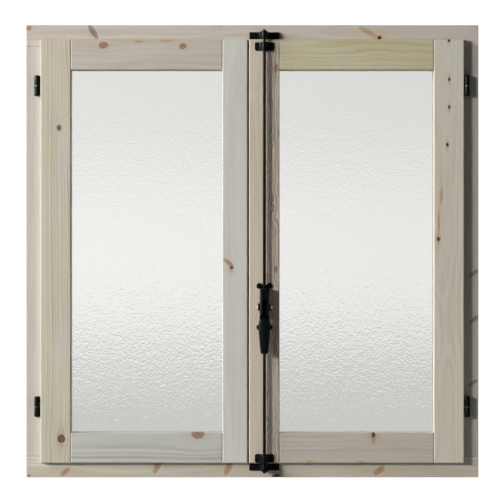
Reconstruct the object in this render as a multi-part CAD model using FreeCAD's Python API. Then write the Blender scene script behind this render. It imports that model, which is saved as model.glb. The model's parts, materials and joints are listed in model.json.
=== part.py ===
import FreeCAD, Part
import math
import os

# A two-sash casement window. X runs along the sill, +Y points outdoors and +Z is up. The origin is the
# centre of the sill's underside, at mid depth of the fixed frame. Everything is in millimetres.

# Fixed frame
window_width = 1000.0
window_height = 1000.0
frame_depth = 58.0
frame_face = 47.0              # member width in front of the stop
stop_reach = 15.0              # how far the stop stands in past that face
stop_depth = 27.0              # stop thickness, from the outdoor face
frame_arris = 1.5              # rounding of the front edges
frame_tenon_thick = 18.0
frame_tenon_length = 35.0
frame_tenon_inset = 8.0        # tenon edge from each side of the jamb
frame_peg_diameter = 9.0
frame_peg_length = 42.0
fixing_hole_diameter = 8.0
fixing_hole_y = -14.0
fixing_hole_ends = 250.0       # fixing holes from the sill's underside and from the head's top

# Sashes
sash_thick = 44.0
sash_proud = 14.0              # sash face in front of the frame face
sash_lap = 14.0                # how far the lip covers the frame face
rebate_gap = 3.0               # sash body to frame
lip_gap = 0.5                  # back of a lip to what it covers
stile_face = 67.0
rail_face = 67.0
left_meeting_face = 55.5
right_meeting_face = 67.0
meeting_line = -8.75           # x of the middle of the gap between the sash faces
meeting_gap = 3.5
meeting_lap = 12.0             # left tongue past its own face edge
meeting_body_gap = 3.0         # left tongue to right sash body
lip_thick_meeting = 14.5
sash_arris = 2.2               # rounding of the front edges, which makes the grooves at the joints
sash_tenon_thick = 12.0
sash_tenon_length = 40.0
sash_tenon_inset = 2.0
sash_peg_diameter = 8.0
sash_peg_length = 39.0
sash_peg_from_shoulder = 25.0

# Glazing
glass_rebate_width = 12.0
glass_rebate_depth = 23.0      # from the back of the sash
glass_thick = 4.0
seal_front = 1.5
seal_back = 1.0
seal_edge = 2.0
seal_reach = 9.0               # height of the seal's legs over the glass
bead_slope = 5.0
bead_straight = 9.5            # straight part of the bead's inner face
pin_diameter = 1.6
pin_length = 25.0
pin_end_distance = 80.0        # first bead pin from a bead's end
weatherboard_height = 22.0
weatherboard_depth = 24.0
weatherboard_nose = 9.0        # thickness of its outer edge
weatherboard_side_gap = 4.0    # to the frame's stop
weatherboard_meeting_gap = 4.0  # each side of the right sash body's edge
drip_groove_radius = 2.5
drip_groove_from_nose = 5.0

# Hinges
hinge_diameter = 13.0
hinge_barrel_length = 22.5
hinge_dome = 3.0
hinge_side_gap = 1.0           # barrel to lip edge
hinge_below_top = 102.0        # hinge centre below the sash top
hinge_above_bottom = 124.0     # hinge centre above the sash bottom
hinge_shank_diameter = 7.0
hinge_shank_grip = 35.0        # shank length inside the wood
hinge_point = 5.0
hinge_pin_diameter = 6.5
hinge_pin_engagement = 16.0    # pin length in each barrel
hinge_bore_spare = 1.0         # upper bore past the pin's end
hinge_washer_thick = 0.8

# Lever bolt
rod_diameter = 7.0
bolt_from_meeting = 33.5       # rod line from the right lip's edge
pivot_height = 377.4
rod_travel = 20.0
lever_swing = 110.0            # degrees
plate_thick = 2.5
rod_behind_gap = 2.0           # rod to base plate
hub_rod_gap = 0.7              # lever's hub disc to the rods behind it
drive_pin_diameter = 4.0
pivot_pin_diameter = 5.0
fork_plate_thick = 3.0
fork_wall = 3.2                # metal above and below a fork's slot
fork_slack = 0.8               # drive pin to slot
fork_web = 1.5                 # metal at the closed end of a slot
fork_side_gap = 1.4            # fork plates to the housing's side walls
fork_slot_inset = 0.3          # how far a slot stops short of the drive pin's full slack
fork_front_inset = 0.2         # front leg short of the drive pin's reach
drive_pin_past_fork = 0.4
block_height = 8.0             # joining block under the upper rod
lower_block_height = 6.0
upper_block_low = 20.0         # block underside above the pivot
lower_block_high = -36.0       # lower block's top from the pivot
block_side_inset = 0.2         # blocks set in from the rod's far side
hook_out = 0.7                 # lower fork's rear leg out from its block
hook_bar_height = 5.5
hook_bar_gap = 1.0             # lower fork's bar to the pivot pin
hook_leg_extra = 0.5           # more metal under the lower fork's slot
spigot_diameter = 4.0
hub_end_radius = 3.4
housing_wall = 2.0
housing_low = -22.6            # from the pivot
housing_high = 40.4
housing_corner = 5.0
housing_inner_corner = 1.2
housing_side_corner = 9.0      # rounding of its lower front corner, seen from the side
housing_top_corner = 5.0
housing_slot_top = 16.0
boss_radius = 8.0
boss_reach = 3.3
pin_head_radius = 3.3
pin_head_length = 3.8
lobe_radius = 6.4
lobe_out = 11.0
lobe_high = 46.2
lobe_low = -45.0
lobe_margin = 3.0              # base plate past the middle of its lobes
grip_start = -25.5             # from the pivot
grip_tip = -102.7
grip_half_width = 12.8         # at its widest
grip_back = -2.0               # from the pivot, away from the sash
grip_front = 12.0
tang_thick = 7.0
tang_length = 34.0
tang_back = 1.5
shank_back = 3.0               # lever's shank at the hub, behind the pivot line
shank_front = 4.0
shank_into_grip = 1.5          # where the shank bends, from the grip's end
grip_corner_share = 0.72       # rounding of the grip's section
top_tip_below_head = 11.5      # bolt tip, locked, from the window's top
bottom_tip_above_sill = 11.2
tip_chamfer = 1.0

# Guides on the sash and keepers on the frame
guide_width = 42.0
guide_height = 19.0
guide_corner = 4.0
guide_from_sash_end = 16.0     # guide centre from the sash's top
lower_guide_from_sash_end = 10.8
guide_base_half = 10.0
guide_wall = 3.2
guide_screw_out = 15.0
keeper_width = 66.0
keeper_height = 15.0
keeper_thick = 3.0
keeper_base_half = 10.5
keeper_from_end = 23.5         # keeper centre from the window's top
keeper_above_sill = 23.0
keeper_slack = 1.0             # rod to keeper
keeper_wall = 3.0
keeper_screw_out = 22.0
screw_diameter = 3.6
screw_head_radius = 3.7
screw_head_height = 2.2
screw_point = 3.0
base_screw_length = 18.0
guide_screw_length = 14.0      # shorter: the guides stand on the lips
keeper_screw_length = 25.0

# Clearances
glue_gap = 0.1                 # tenons and pegs in their holes
wood_fit = 0.05                # screws, pins and shanks in their holes
press_gap = 0.02               # pins pressed into metal
running_gap = 0.1              # pins that turn
slide_gap = 0.3                # rods and plates that slide
plate_gap = 0.5                # fork plates to their neighbours
end_gap = 0.5

# Working allowances, which leave no mark on the model
past = 1.0                     # how far a cutting solid runs past a face
cutter_half = 50.0             # half width of the cutters that round the housing
same_place = 0.01              # two places nearer than this are the same

# Grip stations: share of its length and of its full width, then how far back and front come in
grip_stations = [
    (0.0, 0.80, 1.2, 1.4),
    (0.08, 0.94, 0.2, 0.2),
    (0.30, 1.0, 0.0, 0.0),
    (0.62, 0.86, 0.1, 0.6),
    (0.93, 0.68, 0.8, 2.0),
    (1.0, 0.52, 2.4, 3.8),
]

vec = FreeCAD.Vector

# Places worked out from the sizes above
frame_front_y = -frame_depth / 2
frame_back_y = frame_depth / 2
stop_front_y = frame_back_y - stop_depth
half_width = window_width / 2
face_edge_x = half_width - frame_face
stop_edge_x = face_edge_x - stop_reach
head_face_z = window_height - frame_face
sash_front_y = frame_front_y - sash_proud
sash_back_y = sash_front_y + sash_thick
lip_back_y = frame_front_y - lip_gap
lip_edge_x = face_edge_x + sash_lap
body_edge_x = face_edge_x - rebate_gap
lip_low_z = frame_face - sash_lap
lip_high_z = window_height - lip_low_z
body_low_z = frame_face + rebate_gap
body_high_z = window_height - body_low_z
sight_low_z = lip_low_z + rail_face
sight_high_z = window_height - sight_low_z
hinge_sight_x = lip_edge_x - stile_face
left_face_edge_x = meeting_line - meeting_gap / 2
right_face_edge_x = meeting_line + meeting_gap / 2
tongue_edge_x = left_face_edge_x + meeting_lap
right_body_edge_x = tongue_edge_x + meeting_body_gap
meeting_lip_back_y = sash_front_y + lip_thick_meeting
tongue_front_y = meeting_lip_back_y + lip_gap
sight_span = {
    "left": (-hinge_sight_x, left_face_edge_x - left_meeting_face),
    "right": (right_face_edge_x + right_meeting_face, hinge_sight_x),
}
glass_bed_y = sash_back_y - glass_rebate_depth
glass_front_y = glass_bed_y + seal_front
glass_back_y = glass_front_y + glass_thick
bead_front_y = glass_back_y + seal_back

hinge_x = lip_edge_x + hinge_side_gap + hinge_diameter / 2
hinge_y = (sash_front_y + lip_back_y) / 2
hinge_split = hinge_washer_thick / 2 + running_gap / 2
hinge_heights = {"top": lip_high_z - hinge_below_top, "bottom": lip_low_z + hinge_above_bottom}

rod_radius = rod_diameter / 2
rod_x = right_face_edge_x + bolt_from_meeting
rod_out = plate_thick + rod_behind_gap + rod_radius
crank_radius = rod_travel / (2 * math.sin(math.radians(lever_swing / 2)))
pin_reach = crank_radius * math.cos(math.radians(lever_swing / 2))
drive_pin_radius = drive_pin_diameter / 2
pivot_out = plate_thick + end_gap + crank_radius + drive_pin_radius
fork_inner = rod_radius + plate_gap
fork_outer = fork_inner + fork_plate_thick
hub_half = fork_inner - plate_gap
housing_inner_half = fork_outer + fork_side_gap
housing_outer_half = housing_inner_half + housing_wall
housing_front_inner = crank_radius + drive_pin_radius + slide_gap
housing_front = housing_front_inner + housing_wall
hub_radius = pivot_out - rod_out - rod_radius - hub_rod_gap
upper_rod_tip_z = window_height - top_tip_below_head
guide_centres = {"upper": lip_high_z - guide_from_sash_end, "lower": lip_low_z + lower_guide_from_sash_end}
keeper_centres = {"top": window_height - keeper_from_end, "bottom": keeper_above_sill}


def block(x0, x1, y0, y1, z0, z1):
    return Part.makeBox(abs(x1 - x0), abs(y1 - y0), abs(z1 - z0), vec(min(x0, x1), min(y0, y1), min(z0, z1)))


def cylinder(radius, start, end):
    along = end.sub(start)
    return Part.makeCylinder(radius, along.Length, start, along)


def prism(points, push):
    """Straight solid: a closed outline of points, pushed along a vector."""
    return Part.Face(Part.makePolygon(points + points[:1])).extrude(push)


def joined(*shapes):
    return shapes[0].fuse(list(shapes[1:])).removeSplitter()


def only_solid(shape):
    return shape.Solids[0] if len(shape.Solids) == 1 else shape


def eased(shape, radius, wanted):
    return shape.makeFillet(radius, [edge for edge in shape.Edges if wanted(edge.BoundBox)])


def lies_at_x(x):
    return lambda box: abs(box.XMin - x) < same_place and abs(box.XMax - x) < same_place


def lies_at_y(y):
    return lambda box: abs(box.YMin - y) < same_place and abs(box.YMax - y) < same_place


def lies_at_z(z):
    return lambda box: abs(box.ZMin - z) < same_place and abs(box.ZMax - z) < same_place


def turned(profile, base, direction):
    """Solid of revolution from (radius, distance) pairs that start and end on the axis."""
    wire = Part.makePolygon([vec(radius, 0, along) for radius, along in profile + profile[:1]])
    solid = Part.Face(wire).revolve(vec(0, 0, 0), vec(0, 0, 1), 360)
    solid.Placement = FreeCAD.Placement(base, FreeCAD.Rotation(vec(0, 0, 1), direction))
    return solid


# Fixed frame: head and sill run right across, and the jambs are tenoned between them.

def frame_peg_places():
    inset = frame_face / 2
    x = half_width - inset
    return [vec(side * x, frame_back_y, z) for side in (-1, 1) for z in (inset, window_height - inset)]


def frame_pegs(gap=0.0):
    reach = vec(0, -frame_peg_length, 0)
    return [cylinder(frame_peg_diameter / 2 + gap, place, place.add(reach)) for place in frame_peg_places()]


def jamb_tenon(side, end, gap=0.0):
    x0 = side * (face_edge_x + frame_tenon_inset - gap)
    x1 = side * (half_width - frame_tenon_inset + gap)
    half = frame_tenon_thick / 2 + gap
    shoulder = {"bottom": frame_face, "top": head_face_z}[end]
    out = {"bottom": -1, "top": 1}[end]
    return block(x0, x1, -half, half, shoulder, shoulder + out * (frame_tenon_length + gap))


def frame_crosspiece(end):
    outer_z = {"bottom": 0.0, "top": window_height}[end]
    inward = {"bottom": 1, "top": -1}[end]
    face_z = outer_z + inward * frame_face
    member = block(-half_width, half_width, frame_front_y, frame_back_y, outer_z, face_z)
    member = eased(member, frame_arris, lies_at_y(frame_front_y))
    stop = block(-face_edge_x, face_edge_x, stop_front_y, frame_back_y, face_z, face_z + inward * stop_reach)
    member = joined(member, stop)
    mortises = [jamb_tenon(side, end, glue_gap) for side in (-1, 1)]
    screws = [keeper_screw(u, end, wood_fit) for u in (-keeper_screw_out, keeper_screw_out)]
    return member.cut(mortises + frame_pegs(wood_fit) + screws)


def jamb(side):
    outer_x, inner_x = side * half_width, side * face_edge_x
    member = block(outer_x, inner_x, frame_front_y, frame_back_y, frame_face, head_face_z)
    member = eased(member, frame_arris, lies_at_y(frame_front_y))
    stop = block(side * face_edge_x, side * stop_edge_x, stop_front_y, frame_back_y,
                 frame_face + stop_reach, head_face_z - stop_reach)
    tenons = [jamb_tenon(side, end) for end in ("bottom", "top")]
    member = joined(member, stop, *tenons)
    holes = frame_pegs(wood_fit)
    for z in hinge_heights.values():
        holes.append(frame_hinge_shank(side, z, wood_fit))
    for z in (fixing_hole_ends, window_height - fixing_hole_ends):
        start = vec(side * (face_edge_x - past), fixing_hole_y, z)
        end = vec(side * (half_width + past), fixing_hole_y, z)
        holes.append(cylinder(fixing_hole_diameter / 2, start, end))
    return member.cut(holes)


# Screws, all driven along +Y into the wood

def wood_screw(x, y_head, z, length, gap=0.0):
    radius = screw_diameter / 2 + gap
    head = screw_head_radius + gap
    profile = [(0, 0), (head, 0), (radius, screw_head_height)]
    profile += [(radius, length - screw_point + gap), (0, length + gap)]
    return turned(profile, vec(x, y_head, z), vec(0, 1, 0))


def keeper_screw(u, end, gap=0.0):
    y_head = frame_front_y - keeper_thick
    return wood_screw(rod_x + u, y_head, keeper_centres[end], keeper_screw_length, gap)


def guide_screw(u, end, gap=0.0):
    return wood_screw(rod_x + u, sash_front_y - plate_thick, guide_centres[end], guide_screw_length, gap)


def base_screws(gap=0.0):
    y_head = sash_front_y - plate_thick
    places = [(side * lobe_out, high) for side in (-1, 1) for high in (lobe_low, lobe_high)]
    return [wood_screw(rod_x + u, y_head, pivot_height + w, base_screw_length, gap) for u, w in places]


# Sash members. The glazing rebate is open to the outdoor side; lips cover the frame on the room side.

def hinge_stile(side):
    outline = [(lip_edge_x, sash_front_y), (lip_edge_x, lip_back_y), (body_edge_x, lip_back_y),
               (body_edge_x, sash_back_y), (hinge_sight_x + glass_rebate_width, sash_back_y),
               (hinge_sight_x + glass_rebate_width, glass_bed_y), (hinge_sight_x, glass_bed_y),
               (hinge_sight_x, sash_front_y)]
    return sash_upright([(side * x, y) for x, y in outline], lip_back_y)


def meeting_stile(name):
    if name == "left":
        sight = sight_span["left"][1]
        outline = [(sight, sash_front_y), (sight, glass_bed_y), (sight + glass_rebate_width, glass_bed_y),
                   (sight + glass_rebate_width, sash_back_y), (tongue_edge_x, sash_back_y),
                   (tongue_edge_x, tongue_front_y), (left_face_edge_x, tongue_front_y),
                   (left_face_edge_x, sash_front_y)]
    else:
        sight = sight_span["right"][0]
        outline = [(sight, sash_front_y), (sight, glass_bed_y), (sight - glass_rebate_width, glass_bed_y),
                   (sight - glass_rebate_width, sash_back_y), (right_body_edge_x, sash_back_y),
                   (right_body_edge_x, meeting_lip_back_y), (right_face_edge_x, meeting_lip_back_y),
                   (right_face_edge_x, sash_front_y)]
    return sash_upright(outline, lip_back_y)


def sash_upright(outline, shoulder_y):
    """Full-height stile: its lip runs past the top and bottom of the frame opening, its body does not."""
    points = [vec(x, y, lip_low_z) for x, y in outline]
    stile = prism(points, vec(0, 0, lip_high_z - lip_low_z))
    stile = eased(stile, sash_arris, lies_at_y(sash_front_y))
    xs = [x for x, y in outline]
    x0, x1 = min(xs) - past, max(xs) + past
    y1 = sash_back_y + past
    ends = [block(x0, x1, shoulder_y, y1, lip_low_z - past, body_low_z),
            block(x0, x1, shoulder_y, y1, body_high_z, lip_high_z + past)]
    return stile.cut(ends)


def rail_tenons(name, end, gap=0.0):
    low = body_low_z + sash_tenon_inset - gap
    high = sight_low_z - glass_rebate_width - sash_tenon_inset + gap
    if end == "top":
        low, high = window_height - high, window_height - low
    y0 = glass_bed_y - sash_tenon_thick - gap
    x0, x1 = sight_span[name]
    reach = sash_tenon_length + gap
    return [block(x0 - reach, x0, y0, glass_bed_y + gap, low, high),
            block(x1, x1 + reach, y0, glass_bed_y + gap, low, high)]


def sash_peg_places(name):
    z = (body_low_z + sight_low_z - glass_rebate_width) / 2
    x0, x1 = sight_span[name]
    return [vec(x, sash_back_y, height) for x in (x0 - sash_peg_from_shoulder, x1 + sash_peg_from_shoulder)
            for height in (z, window_height - z)]


def sash_pegs(name, gap=0.0):
    reach = vec(0, -sash_peg_length, 0)
    radius = sash_peg_diameter / 2 + gap
    return [cylinder(radius, place, place.add(reach)) for place in sash_peg_places(name)]


def rail(name, end):
    x0, x1 = sight_span[name]
    front = [(sash_front_y, lip_low_z), (lip_back_y, lip_low_z), (lip_back_y, body_low_z),
             (glass_bed_y, body_low_z), (glass_bed_y, sight_low_z), (sash_front_y, sight_low_z)]
    rebate_z = sight_low_z - glass_rebate_width
    back = [(glass_bed_y, body_low_z), (sash_back_y, body_low_z),
            (sash_back_y, rebate_z), (glass_bed_y, rebate_z)]
    if end == "top":
        front = [(y, window_height - z) for y, z in front]
        back = [(y, window_height - z) for y, z in back]
    front_solid = prism([vec(x0, y, z) for y, z in front], vec(x1 - x0, 0, 0))
    front_solid = eased(front_solid, sash_arris, lies_at_y(sash_front_y))
    back_start = x0 - glass_rebate_width
    back_push = vec(x1 - x0 + 2 * glass_rebate_width, 0, 0)
    back_solid = prism([vec(back_start, y, z) for y, z in back], back_push)
    member = joined(front_solid, back_solid, *rail_tenons(name, end))
    return member.cut(sash_pegs(name, wood_fit) + bead_pins(name, wood_fit))


def finished_stile(name, stile, extra_holes):
    mortises = rail_tenons(name, "bottom", glue_gap) + rail_tenons(name, "top", glue_gap)
    return stile.cut(mortises + sash_pegs(name, wood_fit) + bead_pins(name, wood_fit) + extra_holes)


# Glazing

def rebate_walls(name):
    x0, x1 = sight_span[name]
    return (x0 - glass_rebate_width, x1 + glass_rebate_width,
            sight_low_z - glass_rebate_width, sight_high_z + glass_rebate_width)


def pane_block(name, inset, y0, y1):
    x0, x1, z0, z1 = rebate_walls(name)
    return block(x0 + inset, x1 - inset, y0, y1, z0 + inset, z1 - inset)


def glass(name):
    return pane_block(name, seal_edge, glass_front_y, glass_back_y)


def glass_seal(name):
    channel = pane_block(name, 0.0, glass_bed_y, bead_front_y)
    opening = pane_block(name, seal_reach, glass_bed_y - past, bead_front_y + past)
    return channel.cut([opening, glass(name)])


def bead_sides(name):
    """Each bead's start and end corner on the rebate wall, with the direction that points into the pane."""
    x0, x1, z0, z1 = rebate_walls(name)
    outer = {"left": (vec(x0, 0, z0), vec(x0, 0, z1), vec(1, 0, 0)),
             "right": (vec(x1, 0, z0), vec(x1, 0, z1), vec(-1, 0, 0)),
             "bottom": (vec(x0, 0, z0), vec(x1, 0, z0), vec(0, 0, 1)),
             "top": (vec(x0, 0, z1), vec(x1, 0, z1), vec(0, 0, -1))}
    return outer


def bead(name, place):
    """Mitred glazing bead: one five-sided section, carried between two mitres."""
    start, end, inward = bead_sides(name)[place]
    along = end.sub(start).normalize()
    reach = glass_rebate_width
    section = [(0, bead_front_y), (reach, bead_front_y), (reach, bead_front_y + bead_straight),
               (reach - bead_slope, sash_back_y), (0, sash_back_y)]
    rings = []
    for corner, sign in ((start, 1), (end, -1)):
        points = []
        for inset, y in section:
            points.append(corner.add(inward * inset).add(along * (sign * inset)).add(vec(0, y, 0)))
        rings.append(Part.makePolygon(points + points[:1]))
    strip = Part.makeLoft(rings, True, True)
    return strip.cut(bead_pins(name, wood_fit))


def bead_pins(name, gap=0.0):
    pins = []
    y = bead_front_y + bead_straight / 2
    for place, (start, end, inward) in bead_sides(name).items():
        along = end.sub(start)
        span = along.Length
        distances = [pin_end_distance, span - pin_end_distance]
        if place in ("left", "right"):
            distances.append(span / 2)
        for distance in distances:
            foot = start.add(along * (distance / span)).add(vec(0, y, 0))
            head = foot.add(inward * glass_rebate_width)
            tip = head.sub(inward * (pin_length + gap))
            pins.append(cylinder(pin_diameter / 2 + gap, head, tip))
    return pins


def weatherboard(name):
    """Sloped drip bar across the outside of the bottom rail, with a drip groove under its nose."""
    side_end = stop_edge_x - weatherboard_side_gap
    if name == "left":
        x0, x1 = -side_end, right_body_edge_x - 2 * weatherboard_meeting_gap
    else:
        x0, x1 = right_body_edge_x + weatherboard_meeting_gap, side_end
    top = sight_low_z - glass_rebate_width
    low = top - weatherboard_height
    nose_y = sash_back_y + weatherboard_depth
    outline = [(sash_back_y, low), (nose_y, low), (nose_y, low + weatherboard_nose), (sash_back_y, top)]
    board = prism([vec(x0, y, z) for y, z in outline], vec(x1 - x0, 0, 0))
    groove_y = nose_y - drip_groove_from_nose
    groove = cylinder(drip_groove_radius, vec(x0 - past, groove_y, low), vec(x1 + past, groove_y, low))
    return board.cut(groove)


# Hinges: each half is a barrel with a shank that screws into the wood. The pin is fixed in the lower half.

def sash_hinge_shank(side, centre_z, gap=0.0):
    z = centre_z + hinge_split + hinge_barrel_length / 2
    length = hinge_x - lip_edge_x + hinge_shank_grip + gap
    radius = hinge_shank_diameter / 2 + gap
    profile = [(0, 0), (radius, 0), (radius, length - hinge_point), (0, length)]
    return turned(profile, vec(side * hinge_x, hinge_y, z), vec(-side, 0, 0))


def frame_hinge_shank(side, centre_z, gap=0.0):
    z = centre_z - hinge_split - hinge_barrel_length / 2
    length = frame_front_y - hinge_y + hinge_shank_grip + gap
    radius = hinge_shank_diameter / 2 + gap
    profile = [(0, 0), (radius, 0), (radius, length - hinge_point), (0, length)]
    return turned(profile, vec(side * hinge_x, hinge_y, z), vec(0, 1, 0))


def hinge_barrel(side, centre_z, up):
    start = vec(side * hinge_x, hinge_y, centre_z + up * hinge_split)
    end = start.add(vec(0, 0, up * hinge_barrel_length))
    barrel = cylinder(hinge_diameter / 2, start, end)
    return eased(barrel, hinge_dome, lies_at_z(end.z))


def hinge_bore(side, centre_z, up, gap, depth):
    start = vec(side * hinge_x, hinge_y, centre_z + up * (hinge_split - past))
    return cylinder(hinge_pin_diameter / 2 + gap, start, start.add(vec(0, 0, up * (depth + past))))


def hinge_upper(side, centre_z):
    barrel = joined(hinge_barrel(side, centre_z, 1), sash_hinge_shank(side, centre_z))
    depth = hinge_pin_engagement + hinge_bore_spare
    return barrel.cut(hinge_bore(side, centre_z, 1, running_gap, depth))


def hinge_lower(side, centre_z):
    barrel = joined(hinge_barrel(side, centre_z, -1), frame_hinge_shank(side, centre_z))
    return barrel.cut(hinge_bore(side, centre_z, -1, press_gap, hinge_pin_engagement))


def hinge_pin(side, centre_z):
    start = vec(side * hinge_x, hinge_y, centre_z - hinge_split - hinge_pin_engagement)
    end = vec(side * hinge_x, hinge_y, centre_z + hinge_split + hinge_pin_engagement)
    return cylinder(hinge_pin_diameter / 2, start, end)


def hinge_washer(side, centre_z):
    start = vec(side * hinge_x, hinge_y, centre_z - hinge_split)
    rise = vec(0, 0, hinge_washer_thick)
    ring = cylinder(hinge_diameter / 2, start, start.add(rise))
    return ring.cut(cylinder(hinge_pin_diameter / 2 + wood_fit, start, start.add(rise)))


# Lever bolt. Its pieces are placed by u, across from the rod line; d, out from the sash face; and w, up
# from the pivot.

def lock_point(u, d, w):
    return vec(rod_x + u, sash_front_y - d, pivot_height + w)


def lock_block(u0, u1, d0, d1, w0, w1):
    low = lock_point(u0, d1, w0)
    high = lock_point(u1, d0, w1)
    return block(low.x, high.x, low.y, high.y, low.z, high.z)


def lock_bar(radius, u0, u1, d, w):
    return cylinder(radius, lock_point(u0, d, w), lock_point(u1, d, w))


def lock_prism(outline, u0, u1):
    """Outline of (d, w) pairs, pushed across from u0 to u1."""
    return prism([lock_point(u0, d, w) for d, w in outline], vec(u1 - u0, 0, 0))


def lever_base_plate():
    plate = lock_block(-housing_outer_half, housing_outer_half, 0, plate_thick,
                       lobe_low - lobe_margin, lobe_high + lobe_margin)
    lobes = []
    for side in (-1, 1):
        for w in (lobe_low, lobe_high):
            lobes.append(cylinder(lobe_radius, lock_point(side * lobe_out, 0, w),
                                  lock_point(side * lobe_out, plate_thick, w)))
    window_half = crank_radius / 2 + hub_end_radius
    window = lock_block(-hub_half - plate_gap, hub_half + plate_gap, -past, plate_thick + past,
                        -window_half, window_half)
    return joined(plate, *lobes).cut([window] + base_screws(wood_fit))


def housing_section(half, front, corner, w0, w1):
    """Block of rounded section in plan: a flat back at the base plate, and two rounded front corners."""
    depth = pivot_out + front - plate_thick
    solid = lock_block(-half, half, plate_thick, plate_thick + depth, w0, w1)
    y = sash_front_y - plate_thick - depth
    at_front = lies_at_y(y)
    return eased(solid, corner, lambda box: at_front(box) and box.ZLength > box.XLength)


def lever_housing():
    outer = housing_section(housing_outer_half, housing_front, housing_corner, housing_low, housing_high)
    front_d = pivot_out + housing_front
    mid_d = front_d - housing_side_corner
    mid_w = housing_low + housing_side_corner
    corner = lock_block(-cutter_half, cutter_half, mid_d, front_d + past, housing_low - past, mid_w)
    bar_half = cutter_half + past
    corner = corner.cut(lock_bar(housing_side_corner, -bar_half, bar_half, mid_d, mid_w))
    top_d = front_d - housing_top_corner
    top_w = housing_high - housing_top_corner
    top_corner = lock_block(-cutter_half, cutter_half, top_d, front_d + past, top_w, housing_high + past)
    top_corner = top_corner.cut(lock_bar(housing_top_corner, -bar_half, bar_half, top_d, top_w))
    boss_end = housing_outer_half + boss_reach
    bosses = lock_bar(boss_radius, -boss_end, boss_end, pivot_out, 0)
    shell = joined(outer.cut([corner, top_corner]), bosses)
    hollow = housing_section(housing_inner_half, housing_front_inner, housing_inner_corner,
                             housing_low - past, housing_high - housing_wall)
    rod_hole = cylinder(rod_radius + slide_gap, lock_point(0, rod_out, 0),
                        lock_point(0, rod_out, housing_high + past))
    slot_half = hub_half + plate_gap + wood_fit
    slot = lock_block(-slot_half, slot_half, pivot_out, front_d + past, housing_low - past, housing_slot_top)
    bore_end = boss_end + past
    bore = lock_bar(pivot_pin_diameter / 2 + press_gap, -bore_end, bore_end, pivot_out, 0)
    return shell.cut([hollow, rod_hole, slot, bore])


def lever_pivot_pin():
    boss_end = housing_outer_half + boss_reach
    shaft = lock_bar(pivot_pin_diameter / 2, -boss_end, boss_end, pivot_out, 0)
    heads = []
    for side in (-1, 1):
        outer = side * (boss_end + pin_head_length)
        head = lock_bar(pin_head_radius, side * boss_end, outer, pivot_out, 0)
        heads.append(eased(head, pin_head_radius / 2, lies_at_x(rod_x + outer)))
    return joined(shaft, *heads)


def drive_pin_place(which):
    """Rest place of a drive pin: the rear one drives the upper rod, the front one the lower."""
    sign = {"rear": -1, "front": 1}[which]
    return pivot_out + sign * pin_reach, -sign * rod_travel / 2


def drive_pin(which, gap=0.0):
    d, w = drive_pin_place(which)
    side = {"rear": 1, "front": -1}[which]
    radius = drive_pin_radius + gap
    return lock_bar(radius, -side * hub_half, side * (fork_outer + drive_pin_past_fork), d, w)


def lever_arm():
    """Hub bar between the two drive pins, with the shank that hangs from it and the tang in the grip."""
    rear_d, rear_w = drive_pin_place("rear")
    front_d, front_w = drive_pin_place("front")
    pin_places = [(rear_d, rear_w), (front_d, front_w)]
    ends = [lock_bar(hub_end_radius, -hub_half, hub_half, d, w) for d, w in pin_places]
    span_d, span_w = front_d - rear_d, front_w - rear_w
    span = math.hypot(span_d, span_w)
    off_d = -span_w / span * hub_end_radius
    off_w = span_d / span * hub_end_radius
    sides = [(rear_d + off_d, rear_w + off_w), (front_d + off_d, front_w + off_w),
             (front_d - off_d, front_w - off_w), (rear_d - off_d, rear_w - off_w)]
    bar = lock_prism(sides, -hub_half, hub_half)
    disc = lock_bar(hub_radius, -hub_half, hub_half, pivot_out, 0)
    tang_d = pivot_out + tang_back
    tang_end = grip_start - tang_length
    bend = grip_start + shank_into_grip
    back_d = pivot_out - shank_back
    front_d = pivot_out + shank_front
    outline = [(back_d, 0), (front_d, 0), (front_d, bend / 2), (tang_d + tang_thick, bend),
               (tang_d + tang_thick, tang_end), (tang_d, tang_end), (tang_d, bend), (back_d, bend / 2)]
    shank = lock_prism(outline, -hub_half, hub_half)
    bore_half = hub_half + past
    bore = lock_bar(pivot_pin_diameter / 2 + running_gap, -bore_half, bore_half, pivot_out, 0)
    holes = [bore, drive_pin("rear", press_gap), drive_pin("front", press_gap)]
    return joined(disc, bar, shank, *ends).cut(holes)


def grip_ring(w, half, back, front):
    """Closed ring of the grip's section: straight sides joined by quarter rounds."""
    corner = min(half, (front - back) / 2) * grip_corner_share
    left, right, low, high = -half, half, pivot_out + back, pivot_out + front
    centres = [(right - corner, high - corner, 0), (left + corner, high - corner, 90),
               (left + corner, low + corner, 180), (right - corner, low + corner, 270)]
    arcs = []
    for u, d, start in centres:
        points = []
        for turn in (0, 45, 90):
            angle = math.radians(start + turn)
            points.append(lock_point(u + corner * math.cos(angle), d + corner * math.sin(angle), w))
        arcs.append(Part.Arc(*points))
    edges = []
    for index, arc in enumerate(arcs):
        following = arcs[(index + 1) % len(arcs)]
        edges.append(arc.toShape())
        edges.append(Part.LineSegment(arc.EndPoint, following.StartPoint).toShape())
    return Part.Wire(edges)


def lever_grip():
    """Tapered hand grip: narrow at the hub, widest a third of the way down, slimmer at its tip."""
    length = grip_start - grip_tip
    rings = []
    for share, width, back_in, front_in in grip_stations:
        rings.append(grip_ring(grip_start - share * length, grip_half_width * width,
                               grip_back + back_in, grip_front - front_in))
    body = Part.makeLoft(rings, True, False)
    socket_half = hub_half + wood_fit
    back_d = pivot_out + tang_back
    socket = lock_block(-socket_half, socket_half, back_d - wood_fit, back_d + tang_thick + wood_fit,
                        grip_start - tang_length - wood_fit, grip_start + past)
    return body.cut(socket)


def rod_block_span():
    return rod_out - rod_radius, rod_out + rod_radius


def spigot(low_w, high_w, gap=0.0):
    return cylinder(spigot_diameter / 2 + gap, lock_point(0, rod_out, low_w), lock_point(0, rod_out, high_w))


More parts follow.
